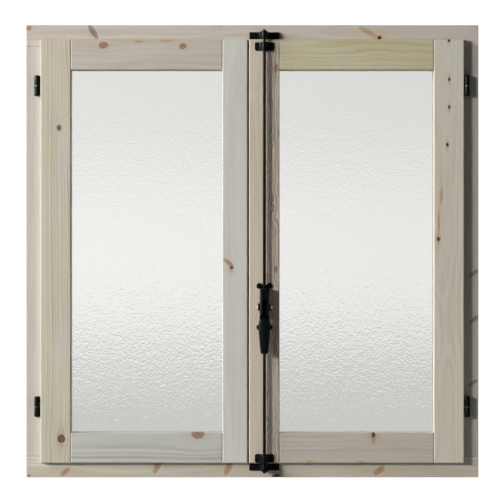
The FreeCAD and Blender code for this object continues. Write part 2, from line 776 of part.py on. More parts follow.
def upper_rod_fork():
    """Plate on the +X side with a slot open to the back, and the block that carries the upper rod."""
    d, w = drive_pin_place("rear")
    slot_half = drive_pin_radius + fork_slack
    back_d = pivot_out - crank_radius - drive_pin_radius
    slot_end = d + slot_half - fork_slot_inset
    low = w - slot_half - fork_wall
    plate = lock_block(fork_inner, fork_outer, back_d, slot_end + fork_web, low, upper_block_low)
    slot = lock_block(fork_inner - past, fork_outer + past, back_d - past, slot_end,
                      w - slot_half, w + slot_half)
    d0, d1 = rod_block_span()
    top = upper_block_low + block_height
    carrier = lock_block(block_side_inset - rod_radius, fork_outer, d0, d1, upper_block_low, top)
    return joined(plate, carrier).cut([slot, spigot(upper_block_low - past, top + past, press_gap)])


def lower_rod_fork():
    """Hooked plate on the -X side: a rear leg from the rod, a bar over the pivot, a slotted front leg."""
    d, w = drive_pin_place("front")
    slot_half = drive_pin_radius + fork_slack
    front_d = pivot_out + crank_radius + drive_pin_radius - fork_front_inset
    slot_start = d - slot_half + fork_slot_inset
    d0, d1 = rod_block_span()
    bar_low = pivot_pin_diameter / 2 + hook_bar_gap
    bar_high = bar_low + hook_bar_height
    low = lower_block_high - lower_block_height
    leg_low = w - slot_half - fork_wall - hook_leg_extra
    rear_leg = lock_block(-fork_outer, -fork_inner, d0 + hook_out, d1 + hook_out, low, bar_high)
    bar = lock_block(-fork_outer, -fork_inner, d0 + hook_out, front_d, bar_low, bar_high)
    front_leg = lock_block(-fork_outer, -fork_inner, slot_start - fork_web, front_d, leg_low, bar_high)
    slot = lock_block(-fork_outer - past, past - fork_inner, slot_start, front_d + past,
                      w - slot_half, w + slot_half)
    carrier = lock_block(-fork_outer, rod_radius - block_side_inset, d0, d1, low, lower_block_high)
    hook = joined(rear_leg, bar, front_leg, carrier)
    return hook.cut([slot, spigot(low - past, lower_block_high + past, press_gap)])


def bolt_rod(end_w, tip_w, spigot_end_w):
    """Round rod with a chamfered tip and a turned-down spigot that is riveted into its block."""
    tip = lock_point(0, rod_out, tip_w)
    solid = cylinder(rod_radius, lock_point(0, rod_out, end_w), tip)
    at_tip = lies_at_z(tip.z)
    solid = solid.makeChamfer(tip_chamfer, [edge for edge in solid.Edges if at_tip(edge.BoundBox)])
    return joined(solid, spigot(min(end_w, spigot_end_w), max(end_w, spigot_end_w)))


def loop_strap(size, foot_thick, base_half, top_half, opening_half, centre_out, face_y, centre_z):
    """Foot plate with a raised round-topped loop over the rod; opening_half is the loop's inner radius."""
    width, height = size
    low_z = centre_z - height / 2

    def place(u, out):
        return vec(rod_x + u, face_y - out, low_z)

    half = width / 2
    foot = block(rod_x - half, rod_x + half, face_y, face_y - foot_thick, low_z, low_z + height)
    legs = prism([place(-base_half, 0), place(base_half, 0), place(base_half, foot_thick),
                  place(top_half, centre_out), place(-top_half, centre_out), place(-base_half, foot_thick)],
                 vec(0, 0, height))
    crown = cylinder(top_half, place(0, centre_out), place(0, centre_out).add(vec(0, 0, height)))
    opening = cylinder(opening_half, place(0, centre_out).sub(vec(0, 0, past)),
                       place(0, centre_out).add(vec(0, 0, height + past)))
    return joined(foot, legs, crown).cut(opening)


def rod_guide(end):
    centre_z = guide_centres[end]
    opening = rod_radius + slide_gap
    strap = loop_strap((guide_width, guide_height), plate_thick, guide_base_half, opening + guide_wall,
                       opening, rod_out, sash_front_y, centre_z)
    at_ends = [lies_at_x(rod_x + side * guide_width / 2) for side in (-1, 1)]
    strap = eased(strap, guide_corner, lambda box: any(at_end(box) for at_end in at_ends)
                  and box.ZLength < same_place)
    return strap.cut([guide_screw(u, end, wood_fit) for u in (-guide_screw_out, guide_screw_out)])


def keeper(end):
    """Strap keeper: its loop stands clear of the frame, as far out as the rod runs, and is open behind."""
    opening = rod_radius + keeper_slack
    centre_out = sash_proud + rod_out
    z = keeper_centres[end]
    strap = loop_strap((keeper_width, keeper_height), keeper_thick, keeper_base_half, opening + keeper_wall,
                       opening, centre_out, frame_front_y, z)
    channel = block(rod_x - opening, rod_x + opening, frame_front_y + past, frame_front_y - centre_out,
                    z - keeper_height, z + keeper_height)
    screws = [keeper_screw(u, end, wood_fit) for u in (-keeper_screw_out, keeper_screw_out)]
    return strap.cut([channel] + screws)


def bolt_holes():
    """Pilot holes that the bolt's screws take in the right meeting stile."""
    guides = []
    for end in guide_centres:
        guides += [guide_screw(u, end, wood_fit) for u in (-guide_screw_out, guide_screw_out)]
    return guides + base_screws(wood_fit)


def build_frame():
    nodes = {
        "frame_head": frame_crosspiece("top"),
        "frame_sill": frame_crosspiece("bottom"),
        "frame_jamb_left": jamb(-1),
        "frame_jamb_right": jamb(1),
        "frame_corner_pegs": Part.Compound(frame_pegs()),
        "top_keeper": keeper("top"),
        "bottom_keeper": keeper("bottom"),
        "keeper_screws": Part.Compound([keeper_screw(u, end) for end in keeper_centres
                                        for u in (-keeper_screw_out, keeper_screw_out)]),
    }
    pins, washers = [], []
    for name, side in (("left", -1), ("right", 1)):
        for end, z in hinge_heights.items():
            nodes[name + "_" + end + "_hinge_lower"] = hinge_lower(side, z)
            pins.append(hinge_pin(side, z))
            washers.append(hinge_washer(side, z))
    nodes["hinge_pins"] = Part.Compound(pins)
    nodes["hinge_washers"] = Part.Compound(washers)
    return nodes


def build_sash(name, side):
    shanks = [sash_hinge_shank(side, z, wood_fit) for z in hinge_heights.values()]
    meeting_holes = bolt_holes() if name == "right" else []
    nodes = {
        name + "_hinge_stile": finished_stile(name, hinge_stile(side), shanks),
        name + "_meeting_stile": finished_stile(name, meeting_stile(name), meeting_holes),
        name + "_sash_pegs": Part.Compound(sash_pegs(name)),
        name + "_glass": glass(name),
        name + "_glass_seal": glass_seal(name),
        name + "_bead_pins": Part.Compound(bead_pins(name)),
        name + "_weatherboard": weatherboard(name),
    }
    for end in ("top", "bottom"):
        nodes[name + "_" + end + "_rail"] = rail(name, end)
        nodes[name + "_" + end + "_hinge_upper"] = hinge_upper(side, hinge_heights[end])
    for place in bead_sides(name):
        nodes[name + "_bead_" + place] = bead(name, place)
    return nodes


def build_bolt():
    upper_end = upper_block_low + block_height
    lower_end = lower_block_high - lower_block_height
    return {
        "upper_guide": rod_guide("upper"),
        "lower_guide": rod_guide("lower"),
        "guide_screws": Part.Compound([guide_screw(u, end) for end in guide_centres
                                       for u in (-guide_screw_out, guide_screw_out)]),
        "lever_base_plate": lever_base_plate(),
        "lever_base_screws": Part.Compound(base_screws()),
        "lever_housing": lever_housing(),
        "lever_pivot_pin": lever_pivot_pin(),
        "lever_arm": lever_arm(),
        "lever_grip": lever_grip(),
        "drive_pins": Part.Compound([drive_pin("rear"), drive_pin("front")]),
        "upper_rod": bolt_rod(upper_end, upper_rod_tip_z - pivot_height, upper_block_low),
        "upper_rod_fork": upper_rod_fork(),
        "lower_rod": bolt_rod(lower_end, bottom_tip_above_sill - pivot_height, lower_block_high),
        "lower_rod_fork": lower_rod_fork(),
    }


os.makedirs("parts", exist_ok=True)
nodes = build_frame()
nodes.update(build_sash("left", -1))
nodes.update(build_sash("right", 1))
nodes.update(build_bolt())
for node, shape in nodes.items():
    if not shape.isValid():
        print("not valid:", node)
    only_solid(shape).exportStep("parts/" + node + ".step")
print(len(nodes), "nodes written")
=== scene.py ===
import bpy
import bmesh
import json
import math
import numpy as np
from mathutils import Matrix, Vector


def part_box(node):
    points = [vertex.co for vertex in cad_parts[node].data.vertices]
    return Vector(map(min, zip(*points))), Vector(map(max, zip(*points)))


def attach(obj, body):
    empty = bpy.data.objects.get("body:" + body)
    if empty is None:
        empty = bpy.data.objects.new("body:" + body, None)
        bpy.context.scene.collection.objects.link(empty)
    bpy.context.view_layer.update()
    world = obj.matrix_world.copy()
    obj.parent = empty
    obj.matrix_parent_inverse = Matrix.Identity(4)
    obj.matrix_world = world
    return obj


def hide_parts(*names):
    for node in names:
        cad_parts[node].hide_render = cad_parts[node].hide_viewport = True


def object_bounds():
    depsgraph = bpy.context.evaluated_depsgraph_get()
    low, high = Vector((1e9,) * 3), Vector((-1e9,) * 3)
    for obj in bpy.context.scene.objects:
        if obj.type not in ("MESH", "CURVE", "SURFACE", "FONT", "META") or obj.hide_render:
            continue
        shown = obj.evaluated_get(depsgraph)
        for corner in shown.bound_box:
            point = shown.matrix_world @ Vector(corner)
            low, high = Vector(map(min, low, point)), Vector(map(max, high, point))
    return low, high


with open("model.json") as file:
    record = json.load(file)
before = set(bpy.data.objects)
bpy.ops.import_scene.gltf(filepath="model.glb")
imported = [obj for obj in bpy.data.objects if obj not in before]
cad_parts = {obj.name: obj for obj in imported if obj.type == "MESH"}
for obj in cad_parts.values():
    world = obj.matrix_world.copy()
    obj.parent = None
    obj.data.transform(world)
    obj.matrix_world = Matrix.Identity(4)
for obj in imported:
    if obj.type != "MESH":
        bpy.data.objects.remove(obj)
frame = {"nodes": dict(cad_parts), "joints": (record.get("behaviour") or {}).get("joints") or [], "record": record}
cadLow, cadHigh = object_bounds()
cadNodes = frame["nodes"]


def addNode(tree, kind, inputs=None, **settings):
    # one node; inputs maps a socket's name or number to a value, or to a socket to link from
    made = tree.nodes.new(kind)
    for key, value in settings.items():
        setattr(made, key, value)
    for key, value in (inputs or {}).items():
        if isinstance(value, bpy.types.NodeSocket):
            tree.links.new(value, made.inputs[key])
        else:
            made.inputs[key].default_value = value
    return made


def maths(tree, operation, *values, clamp=False):
    inputs = dict(enumerate(values))
    return addNode(tree, "ShaderNodeMath", inputs, operation=operation, use_clamp=clamp).outputs[0]


def vectorMaths(tree, operation, *values):
    made = addNode(tree, "ShaderNodeVectorMath", dict(enumerate(values)), operation=operation)
    return made.outputs["Value" if operation in ("LENGTH", "DOT_PRODUCT", "DISTANCE") else "Vector"]


def ramped(tree, value, low, high, outLow=0.0, outHigh=1.0, smooth=True):
    inputs = {0: value, 1: low, 2: high, 3: outLow, 4: outHigh}
    kind = "SMOOTHSTEP" if smooth else "LINEAR"
    return addNode(tree, "ShaderNodeMapRange", inputs, interpolation_type=kind).outputs[0]


def noise(tree, vector, scale=1.0, detail=2.0, roughness=0.5, output=0):
    inputs = {"Vector": vector, "Scale": scale, "Detail": detail, "Roughness": roughness}
    return addNode(tree, "ShaderNodeTexNoise", inputs).outputs[output]


def noiseAlong(tree, value, scale=1.0, detail=1.0):
    inputs = {"W": value, "Scale": scale, "Detail": detail}
    return addNode(tree, "ShaderNodeTexNoise", inputs, noise_dimensions="1D").outputs[0]


def scaled(tree, vector, factor):
    return addNode(tree, "ShaderNodeVectorMath", {0: vector, "Scale": factor}, operation="SCALE").outputs[0]


def split(tree, vector):
    return addNode(tree, "ShaderNodeSeparateXYZ", {0: vector}).outputs


def joined(tree, *values):
    return addNode(tree, "ShaderNodeCombineXYZ", dict(enumerate(values))).outputs[0]


def sumOfSquares(tree, a, b):
    return maths(tree, "ADD", maths(tree, "MULTIPLY", a, a), maths(tree, "MULTIPLY", b, b))


def mixColours(tree, share, first, second, blend="MIX"):
    made = addNode(tree, "ShaderNodeMix", data_type="RGBA", blend_type=blend, clamp_factor=True)
    for socket, value in ((made.inputs[0], share), (made.inputs[6], first), (made.inputs[7], second)):
        if isinstance(value, bpy.types.NodeSocket):
            tree.links.new(value, socket)
        else:
            socket.default_value = value
    return made.outputs[2]


def rgb(red, green, blue):
    # linear colour from the usual 0 to 255 picker numbers
    parts = [c / 255 for c in (red, green, blue)]
    return tuple(c / 12.92 if c <= 0.04045 else ((c + 0.055) / 1.055) ** 2.4 for c in parts) + (1.0,)


def newGroup(name, inputs, outputs):
    tree = bpy.data.node_groups.new(name, "ShaderNodeTree")
    kinds = {"value": "NodeSocketFloat", "vector": "NodeSocketVector", "colour": "NodeSocketColor"}
    for label, kind, default in inputs:
        socket = tree.interface.new_socket(name=label, in_out="INPUT", socket_type=kinds[kind])
        if default is not None:
            socket.default_value = default
    for label, kind in outputs:
        tree.interface.new_socket(name=label, in_out="OUTPUT", socket_type=kinds[kind])
    return tree, tree.nodes.new("NodeGroupInput").outputs, tree.nodes.new("NodeGroupOutput").inputs


def useGroup(tree, group, inputs):
    made = tree.nodes.new("ShaderNodeGroup")
    made.node_tree = group
    for key, value in inputs.items():
        if isinstance(value, bpy.types.NodeSocket):
            tree.links.new(value, made.inputs[key])
        else:
            made.inputs[key].default_value = value
    return made.outputs


def newMaterial(name):
    material = bpy.data.materials.new(name)
    material.use_nodes = True
    tree = material.node_tree
    tree.nodes.clear()
    output = tree.nodes.new("ShaderNodeOutputMaterial")
    shader = tree.nodes.new("ShaderNodeBsdfPrincipled")
    tree.links.new(shader.outputs[0], output.inputs["Surface"])
    place = tree.nodes.new("ShaderNodeTexCoord").outputs["Object"]
    return material, tree, shader, place


def mixSurface(tree, share, shader, other):
    # the material's own shader, swapped for the other one where share is 1
    both = addNode(tree, "ShaderNodeMixShader", {0: share, 1: shader.outputs[0], 2: other.outputs[0]})
    output = next(n for n in tree.nodes if n.type == "OUTPUT_MATERIAL")
    tree.links.new(both.outputs[0], output.inputs["Surface"])


def bumped(tree, shader, height, distance, strength=1.0):
    made = addNode(tree, "ShaderNodeBump", {"Strength": strength, "Distance": distance, "Height": height})
    tree.links.new(made.outputs[0], shader.inputs["Normal"])


# a branch's wobble, and how many of its own lengths and widths the bent grain and the halo reach
knotLook = {"wobbleScale": 170.0, "wobble": 0.55, "bendLong": 3.0, "bendWide": 2.6, "haloLong": 3.2,
            "haloWide": 1.3,
            "speckScale": 900.0, "coreRings": 19.0, "ringWander": 5.0, "heart": 0.55, "rimNear": 0.02,
            "rimFar": 0.28, "stainStretch": (60.0, 420.0, 420.0)}


def makeKnotPlace():
    # distance from a branch, 1 at its rim; push = across * bell * spread, which bends the grain round it;
    # and the reach of its coloured halo, long along the grain and short across it
    tree, source, result = newGroup("knotPlace", [
        ("Vector", "vector", None), ("Along", "value", 0.0), ("Across", "value", 0.0),
        ("Length", "value", 0.008),
        ("Width", "value", 0.006), ("Slant", "value", 0.0), ("Spread", "value", 0.8)],
        [("Distance", "value"), ("Push", "value"), ("Reach", "value")])
    local = vectorMaths(tree, "SUBTRACT", source["Vector"], joined(tree, source["Along"], source["Across"]))
    wobble = noise(tree, source["Vector"], knotLook["wobbleScale"], 2.0, output=1)
    wobble = vectorMaths(tree, "SUBTRACT", wobble, (0.5, 0.5, 0.5))
    wobble = scaled(tree, wobble, maths(tree, "MULTIPLY", source["Width"], knotLook["wobble"]))
    turned = addNode(tree, "ShaderNodeVectorRotate", {"Vector": vectorMaths(tree, "ADD", local, wobble),
                                                      "Angle": source["Slant"]},
                                                      rotation_type="Z_AXIS").outputs[0]
    parts = split(tree, turned)
    plain = split(tree, local)

    def bell(long, wide):
        # e ^ -(a^2 + b^2), with a and b the distances in so many branch lengths and widths
        a = maths(tree, "DIVIDE", plain[0], maths(tree, "MULTIPLY", source["Length"], long))
        b = maths(tree, "DIVIDE", plain[1], maths(tree, "MULTIPLY", source["Width"], wide))
        return maths(tree, "POWER", math.e, maths(tree, "MULTIPLY", sumOfSquares(tree, a, b), -1.0))

    a = maths(tree, "DIVIDE", parts[0], source["Length"])
    b = maths(tree, "DIVIDE", parts[1], source["Width"])
    tree.links.new(maths(tree, "SQRT", sumOfSquares(tree, a, b)), result["Distance"])
    bend = bell(knotLook["bendLong"], knotLook["bendWide"])
    push = maths(tree, "MULTIPLY", maths(tree, "MULTIPLY", plain[1], bend), source["Spread"])
    tree.links.new(push, result["Push"])
    tree.links.new(bell(knotLook["haloLong"], knotLook["haloWide"]), result["Reach"])
    return tree


def makeKnotPaint():
    # core with its own rings, dark rim, and a halo that stains the wood round it
    tree, source, result = newGroup("knotPaint", [
        ("Colour", "colour", None), ("Vector", "vector", None), ("Distance", "value", 0.0),
        ("Reach", "value", 0.0),
        ("Core", "colour", None), ("Rim", "colour", None), ("Halo", "colour", None), ("Depth", "value", 0.8),
        ("Rim Depth", "value", 0.6), ("Stain", "value", 0.5), ("Softness", "value", 0.12)],
        [("Colour", "colour"), ("Hollow", "value")])
    speck = noise(tree, source["Vector"], knotLook["speckScale"], 3.0)
    waves = maths(tree, "ADD", maths(tree, "MULTIPLY", source["Distance"], knotLook["coreRings"]),
                  maths(tree, "MULTIPLY", speck, knotLook["ringWander"]))
    waves = ramped(tree, maths(tree, "SINE", waves), -1.0, 1.0, 0.72, 1.12, smooth=False)
    heart = ramped(tree, source["Distance"], 0.0, knotLook["heart"], 0.7, 1.0)
    core = scaled(tree, source["Core"], maths(tree, "MULTIPLY", waves, heart))
    inner = maths(tree, "SUBTRACT", 1.0, source["Softness"])
    outer = maths(tree, "ADD", 1.0, source["Softness"])
    inside = ramped(tree, source["Distance"], inner, outer, 1.0, 0.0)
    fromRim = maths(tree, "ABSOLUTE", maths(tree, "SUBTRACT", source["Distance"], 1.0))
    rim = ramped(tree, fromRim, knotLook["rimNear"], knotLook["rimFar"], 1.0, 0.0)
    rim = maths(tree, "MULTIPLY", rim, source["Rim Depth"])
    streaks = noise(tree, vectorMaths(tree, "MULTIPLY", source["Vector"], knotLook["stainStretch"]), 1.0)
    stain = maths(tree, "MULTIPLY", maths(tree, "MULTIPLY", source["Reach"], source["Stain"]),
                  ramped(tree, streaks, 0.3, 0.7, 0.45, 1.25))
    colour = mixColours(tree, stain, source["Colour"], source["Halo"])
    colour = mixColours(tree, maths(tree, "MULTIPLY", inside, source["Depth"]), colour, core)
    colour = mixColours(tree, rim, colour, source["Rim"])
    tree.links.new(colour, result["Colour"])
    tree.links.new(rim, result["Hollow"])
    return tree


# stretches are cycles per metre along the grain, across it and into its depth
grainLook = {"drift": (2.6, 9.0, 9.0), "waves": (17.0, 38.0, 38.0), "fading": (5.0, 22.0, 22.0),
             "fibre": (42.0, 1500.0, 1500.0), "streak": (5.0, 210.0, 210.0), "blotch": (7.0, 26.0, 26.0),
             "seedStep": 7.31, "driftGain": 4.0, "unevenEvery": 0.37, "uneven": 2.4, "lineFrom": 0.18,
             "linePeak": 0.9, "faintRing": 0.45, "faintStretch": 0.35}


def makeGrain():
    # growth rings about a pith line beside the board: ring number = distance to the pith / ring width, with
    # slow drift along the board, so that the cut face shows straight lines, waves and arches
    tree, source, result = newGroup("woodGrain", [
        ("Vector", "vector", None), ("Push", "value", 0.0), ("Seed", "value", 0.0),
        ("Pith Across", "value", 0.0),
        ("Pith Depth", "value", 0.06), ("Ring Width", "value", 0.004), ("Drift", "value", 0.004),
        ("Waves", "value", 0.3), ("Early", "colour", None), ("Late", "colour", None),
        ("Tint", "colour", None), ("Contrast", "value", 0.6), ("Tint Share", "value", 0.3)],
        [("Colour", "colour"), ("Line", "value"), ("Fibre", "value")])
    look = grainLook
    along, flat, deep = split(tree, source["Vector"])
    across = maths(tree, "SUBTRACT", flat, source["Push"])
    shift = maths(tree, "MULTIPLY", source["Seed"], look["seedStep"])
    seeded = joined(tree, shift, source["Seed"], shift)
    grainPlace = joined(tree, along, across, deep)

    def stretched(name, detail=2.0):
        return noise(tree, vectorMaths(tree, "MULTIPLY_ADD", grainPlace, look[name], seeded), 1.0, detail)

    drift = maths(tree, "MULTIPLY", maths(tree, "SUBTRACT", stretched("drift", 1.0), 0.5),
                  maths(tree, "MULTIPLY", source["Drift"], look["driftGain"]))
    waves = maths(tree, "MULTIPLY", maths(tree, "SUBTRACT", stretched("waves"), 0.5),
                  maths(tree, "MULTIPLY", source["Drift"], source["Waves"]))
    offAcross = maths(tree, "SUBTRACT", across, source["Pith Across"])
    offDepth = maths(tree, "SUBTRACT", deep, source["Pith Depth"])
    radius = maths(tree, "SQRT", sumOfSquares(tree, offAcross, offDepth))
    radius = maths(tree, "ADD", maths(tree, "ADD", radius, drift), waves)
    rings = maths(tree, "ADD", maths(tree, "DIVIDE", radius, source["Ring Width"]), source["Seed"])
    uneven = maths(tree, "MULTIPLY", noiseAlong(tree, rings, look["unevenEvery"]), look["uneven"])
    rings = maths(tree, "ADD", rings, uneven)
    # each line darkens slowly towards the end of its year, then stops short
    share = maths(tree, "FRACT", rings)
    line = maths(tree, "MULTIPLY", ramped(tree, share, look["lineFrom"], look["linePeak"]),
                 ramped(tree, share, look["linePeak"], 1.0, 1.0, 0.0))
    strength = addNode(tree, "ShaderNodeTexWhiteNoise", {"W": maths(tree, "FLOOR", rings)},
                       noise_dimensions="1D").outputs["Value"]
    line = maths(tree, "MULTIPLY", line, ramped(tree, strength, 0.0, 1.0, look["faintRing"], 1.0,
                                                smooth=False))
    line = maths(tree, "MULTIPLY", line, ramped(tree, stretched("fading"), 0.3, 0.62, look["faintStretch"],
                                                1.0))
    fibre = stretched("fibre")
    colour = mixColours(tree, maths(tree, "MULTIPLY", line, source["Contrast"]), source["Early"],
                        source["Late"])
    tint = maths(tree, "MULTIPLY", ramped(tree, stretched("blotch"), 0.38, 0.66), source["Tint Share"])
    colour = mixColours(tree, tint, colour, source["Tint"])
    bright = maths(tree, "ADD", ramped(tree, fibre, 0.2, 0.8, 0.93, 1.05, smooth=False),
                   ramped(tree, stretched("streak", 3.0), 0.25, 0.75, -0.06, 0.05, smooth=False))
    tree.links.new(scaled(tree, colour, bright), result["Colour"])
    tree.links.new(line, result["Line"])
    tree.links.new(fibre, result["Fibre"])
    return tree


def makeHandling():
    # fine unevenness of a coated or handled surface: a mask of rubbed patches and a fine height
    tree, source, result = newGroup("handling", [
        ("Vector", "vector", None), ("Patch Size", "value", 0.02), ("Pebble Size", "value", 0.0012)],
        [("Patches", "value"), ("Pebbles", "value")])
    patches = noise(tree, source["Vector"], maths(tree, "DIVIDE", 1.0, source["Patch Size"]), 4.0, 0.6)
    pebbles = noise(tree, source["Vector"], maths(tree, "DIVIDE", 1.0, source["Pebble Size"]), 2.0)
    tree.links.new(ramped(tree, patches, 0.35, 0.7), result["Patches"])
    tree.links.new(pebbles, result["Pebbles"])
    return tree


groups = {"knotPlace": makeKnotPlace(), "knotPaint": makeKnotPaint(), "grain": makeGrain(),
          "handling": makeHandling()}
print("shader groups made:", ", ".join(groups))


knotKinds = {
    "red": {"Core": rgb(178, 128, 104), "Rim": rgb(128, 84, 66), "Halo": rgb(205, 178, 140), "Depth": 0.85,
            "Rim Depth": 0.35, "Stain": 0.35, "Softness": 0.1},
    "dead": {"Core": rgb(108, 88, 76), "Rim": rgb(34, 26, 22), "Halo": rgb(186, 142, 106), "Depth": 0.85,
             "Rim Depth": 0.95, "Stain": 0.75, "Softness": 0.08},
    "dark": {"Core": rgb(74, 56, 48), "Rim": rgb(58, 44, 38), "Halo": rgb(196, 150, 96), "Depth": 0.95,
             "Rim Depth": 0.5, "Stain": 0.7, "Softness": 0.2},
    "grey": {"Core": rgb(112, 98, 92), "Rim": rgb(86, 72, 68), "Halo": rgb(190, 166, 132), "Depth": 0.9,
             "Rim Depth": 0.5, "Stain": 0.45, "Softness": 0.2},
    "spike": {"Core": rgb(190, 144, 92), "Rim": rgb(160, 112, 74), "Halo": rgb(206, 178, 132), "Depth": 0.75,
              "Rim Depth": 0.3, "Stain": 0.35, "Softness": 0.35},
    "brown": {"Core": rgb(150, 116, 92), "Rim": rgb(120, 86, 66), "Halo": rgb(188, 166, 138), "Depth": 0.75,
              "Rim Depth": 0.3, "Stain": 0.3, "Softness": 0.35},
    "pitch": {"Core": rgb(208, 158, 84), "Rim": rgb(196, 140, 70), "Halo": rgb(212, 180, 120), "Depth": 0.6,
              "Rim Depth": 0.2, "Stain": 0.35, "Softness": 0.45},
}

# pith: where the heart of the tree lies, across the board and into its depth, in metres;
# knots: kind, x and z on the window, half length along the grain and half width in metres, slant in degrees
boards = {
    "frame_head": dict(
        axis="x", early=rgb(220, 212, 200), late=rgb(195, 178, 150), tint=rgb(222, 202, 185),
        pith=(0.02, 0.07), ring=0.0034, drift=0.0035, waves=0.3, contrast=0.55, tintShare=0.4, seed=1.3,
        knots=[("brown", -0.352, 0.985, 0.0165, 0.0055, -58), ("dark", 0.281, 0.972, 0.004, 0.004, 0),
               ("spike", -0.494, 0.993, 0.006, 0.005, 0), ("pitch", 0.255, 0.985, 0.02, 0.005, -30)]),
    "frame_sill": dict(
        axis="x", early=rgb(226, 218, 204), late=rgb(190, 170, 140), tint=rgb(218, 208, 180),
        pith=(-0.03, 0.05), ring=0.0042, drift=0.004, waves=0.3, contrast=0.6, tintShare=0.4, seed=2.9,
        knots=[("spike", -0.414, 0.012, 0.011, 0.005, 40), ("spike", -0.209, 0.026, 0.017, 0.0055, 62),
               ("spike", -0.052, 0.024, 0.018, 0.006, 66), ("spike", 0.281, 0.016, 0.013, 0.006, 40),
               ("dark", 0.052, 0.004, 0.008, 0.0025, 5), ("dark", -0.493, 0.004, 0.0018, 0.0018, 0)]),
    "frame_jamb_left": dict(
        axis="z", early=rgb(216, 210, 198), late=rgb(195, 180, 160), tint=rgb(214, 200, 190),
        pith=(0.03, 0.09), ring=0.0036, drift=0.003, waves=0.25, contrast=0.45, tintShare=0.45, seed=4.1,
        knots=[("dark", -0.4925, 0.955, 0.0018, 0.0018, 0)]),
    "frame_jamb_right": dict(
        axis="z", early=rgb(202, 198, 184), late=rgb(175, 164, 140), tint=rgb(196, 190, 175),
        pith=(-0.02, 0.08), ring=0.0032, drift=0.003, waves=0.25, contrast=0.35, tintShare=0.35, seed=5.7,
        knots=[("brown", 0.4905, 0.452, 0.011, 0.0038, 52), ("brown", 0.4915, 0.350, 0.013, 0.0042, 55),
               ("brown", 0.488, 0.209, 0.011, 0.0036, 52)]),
    "left_hinge_stile": dict(
        axis="z", early=rgb(220, 214, 198), late=rgb(184, 166, 128), tint=rgb(220, 208, 175),
        pith=(0.075, 0.045), ring=0.0046, drift=0.005, waves=0.35, contrast=0.85, tintShare=0.5, seed=6.2,
        knots=[("grey", -0.426, 0.772, 0.006, 0.0046, 0), ("dead", -0.421, 0.087, 0.0075, 0.0072, 0)]),
    "left_meeting_stile": dict(
        axis="z", early=rgb(230, 227, 216), late=rgb(205, 196, 175), tint=rgb(224, 215, 200),
        pith=(0.0, 0.12), ring=0.0033, drift=0.0025, waves=0.2, contrast=0.45, tintShare=0.3, seed=7.4,
        knots=[("dark", -0.0455, 0.464, 0.0038, 0.0036, 0), ("spike", -0.0525, 0.475, 0.0125, 0.004, -50)]),
    "left_top_rail": dict(
        axis="x", early=rgb(214, 207, 194), late=rgb(188, 170, 146), tint=rgb(215, 198, 180),
        pith=(-0.05, 0.06), ring=0.0042, drift=0.0035, waves=0.3, contrast=0.5, tintShare=0.45, seed=8.8,
        knots=[("red", -0.328, 0.954, 0.0095, 0.0066, 5), ("red", -0.153, 0.952, 0.0078, 0.006, 12),
               ("pitch", -0.19, 0.9635, 0.014, 0.0024, 3), ("pitch", -0.252, 0.962, 0.010, 0.0026, 0)]),
    "left_bottom_rail": dict(
        axis="x", early=rgb(216, 215, 207), late=rgb(174, 160, 130), tint=rgb(210, 208, 202),
        pith=(0.02, 0.055), ring=0.0044, drift=0.0016, waves=0.15, contrast=0.95, tintShare=0.3, seed=9.6,
        knots=[("red", -0.120, 0.099, 0.0135, 0.0115, 0)]),
    "right_meeting_stile": dict(
        axis="z", early=rgb(225, 211, 190), late=rgb(196, 174, 140), tint=rgb(228, 204, 178),
        pith=(-0.03, 0.08), ring=0.0036, drift=0.003, waves=0.25, contrast=0.45, tintShare=0.35, seed=10.9,
        figure=dict(start=0.0, end=0.007, late=rgb(88, 54, 34), ring=0.0025, contrast=1.0, drift=0.0055,
                    waves=2.4, seed=11.4),
        knots=[("brown", 0.052, 0.903, 0.009, 0.0042, 8), ("brown", 0.052, 0.460, 0.007, 0.0036, 8)]),
    "right_hinge_stile": dict(
        axis="z", early=rgb(232, 225, 210), late=rgb(205, 187, 150), tint=rgb(232, 216, 195),
        pith=(-0.004, 0.075), ring=0.0046, drift=0.005, waves=0.3, contrast=0.5, tintShare=0.35, seed=12.3,
        knots=[("dark", 0.434, 0.879, 0.004, 0.0024, 0), ("dark", 0.434, 0.818, 0.004, 0.0024, 0),
               ("dark", 0.430, 0.735, 0.0038, 0.0028, 0), ("dark", 0.4105, 0.527, 0.0044, 0.0036, 0),
               ("dark", 0.4335, 0.9655, 0.0042, 0.0026, 0), ("pitch", 0.4165, 0.622, 0.016, 0.0026, 6),
               ("pitch", 0.4115, 0.565, 0.022, 0.0022, 0)]),
    "right_top_rail": dict(
        axis="x", early=rgb(220, 212, 180), late=rgb(200, 180, 115), tint=rgb(214, 204, 165),
        pith=(0.045, 0.04), ring=0.0062, drift=0.0065, waves=0.9, contrast=1.0, tintShare=0.5, seed=13.1,
        knots=[("dark", 0.4035, 0.939, 0.0016, 0.0042, 20)]),
    "right_bottom_rail": dict(
        axis="x", early=rgb(212, 204, 192), late=rgb(185, 168, 145), tint=rgb(210, 197, 180),
        pith=(-0.03, 0.09), ring=0.0038, drift=0.003, waves=0.25, contrast=0.5, tintShare=0.35, seed=14.7,
        knots=[("dark", 0.267, 0.0935, 0.0036, 0.0066, 0), ("pitch", 0.267, 0.083, 0.004, 0.007, 0),
               ("pitch", 0.125, 0.036, 0.008, 0.0026, 10), ("pitch", 0.24, 0.0355, 0.008, 0.0022, 0)]),
    "left_weatherboard": dict(
        axis="x", early=rgb(208, 198, 178), late=rgb(176, 156, 122), tint=rgb(206, 190, 160),
        pith=(0.03, 0.03),
        ring=0.004, drift=0.003, waves=0.3, contrast=0.45, tintShare=0.35, seed=15.5, knots=[]),
    "right_weatherboard": dict(
        axis="x", early=rgb(208, 198, 178), late=rgb(176, 156, 122), tint=rgb(206, 190, 160),
        pith=(-0.03, 0.03),
        ring=0.004, drift=0.003, waves=0.3, contrast=0.45, tintShare=0.35, seed=16.1, knots=[]),
}
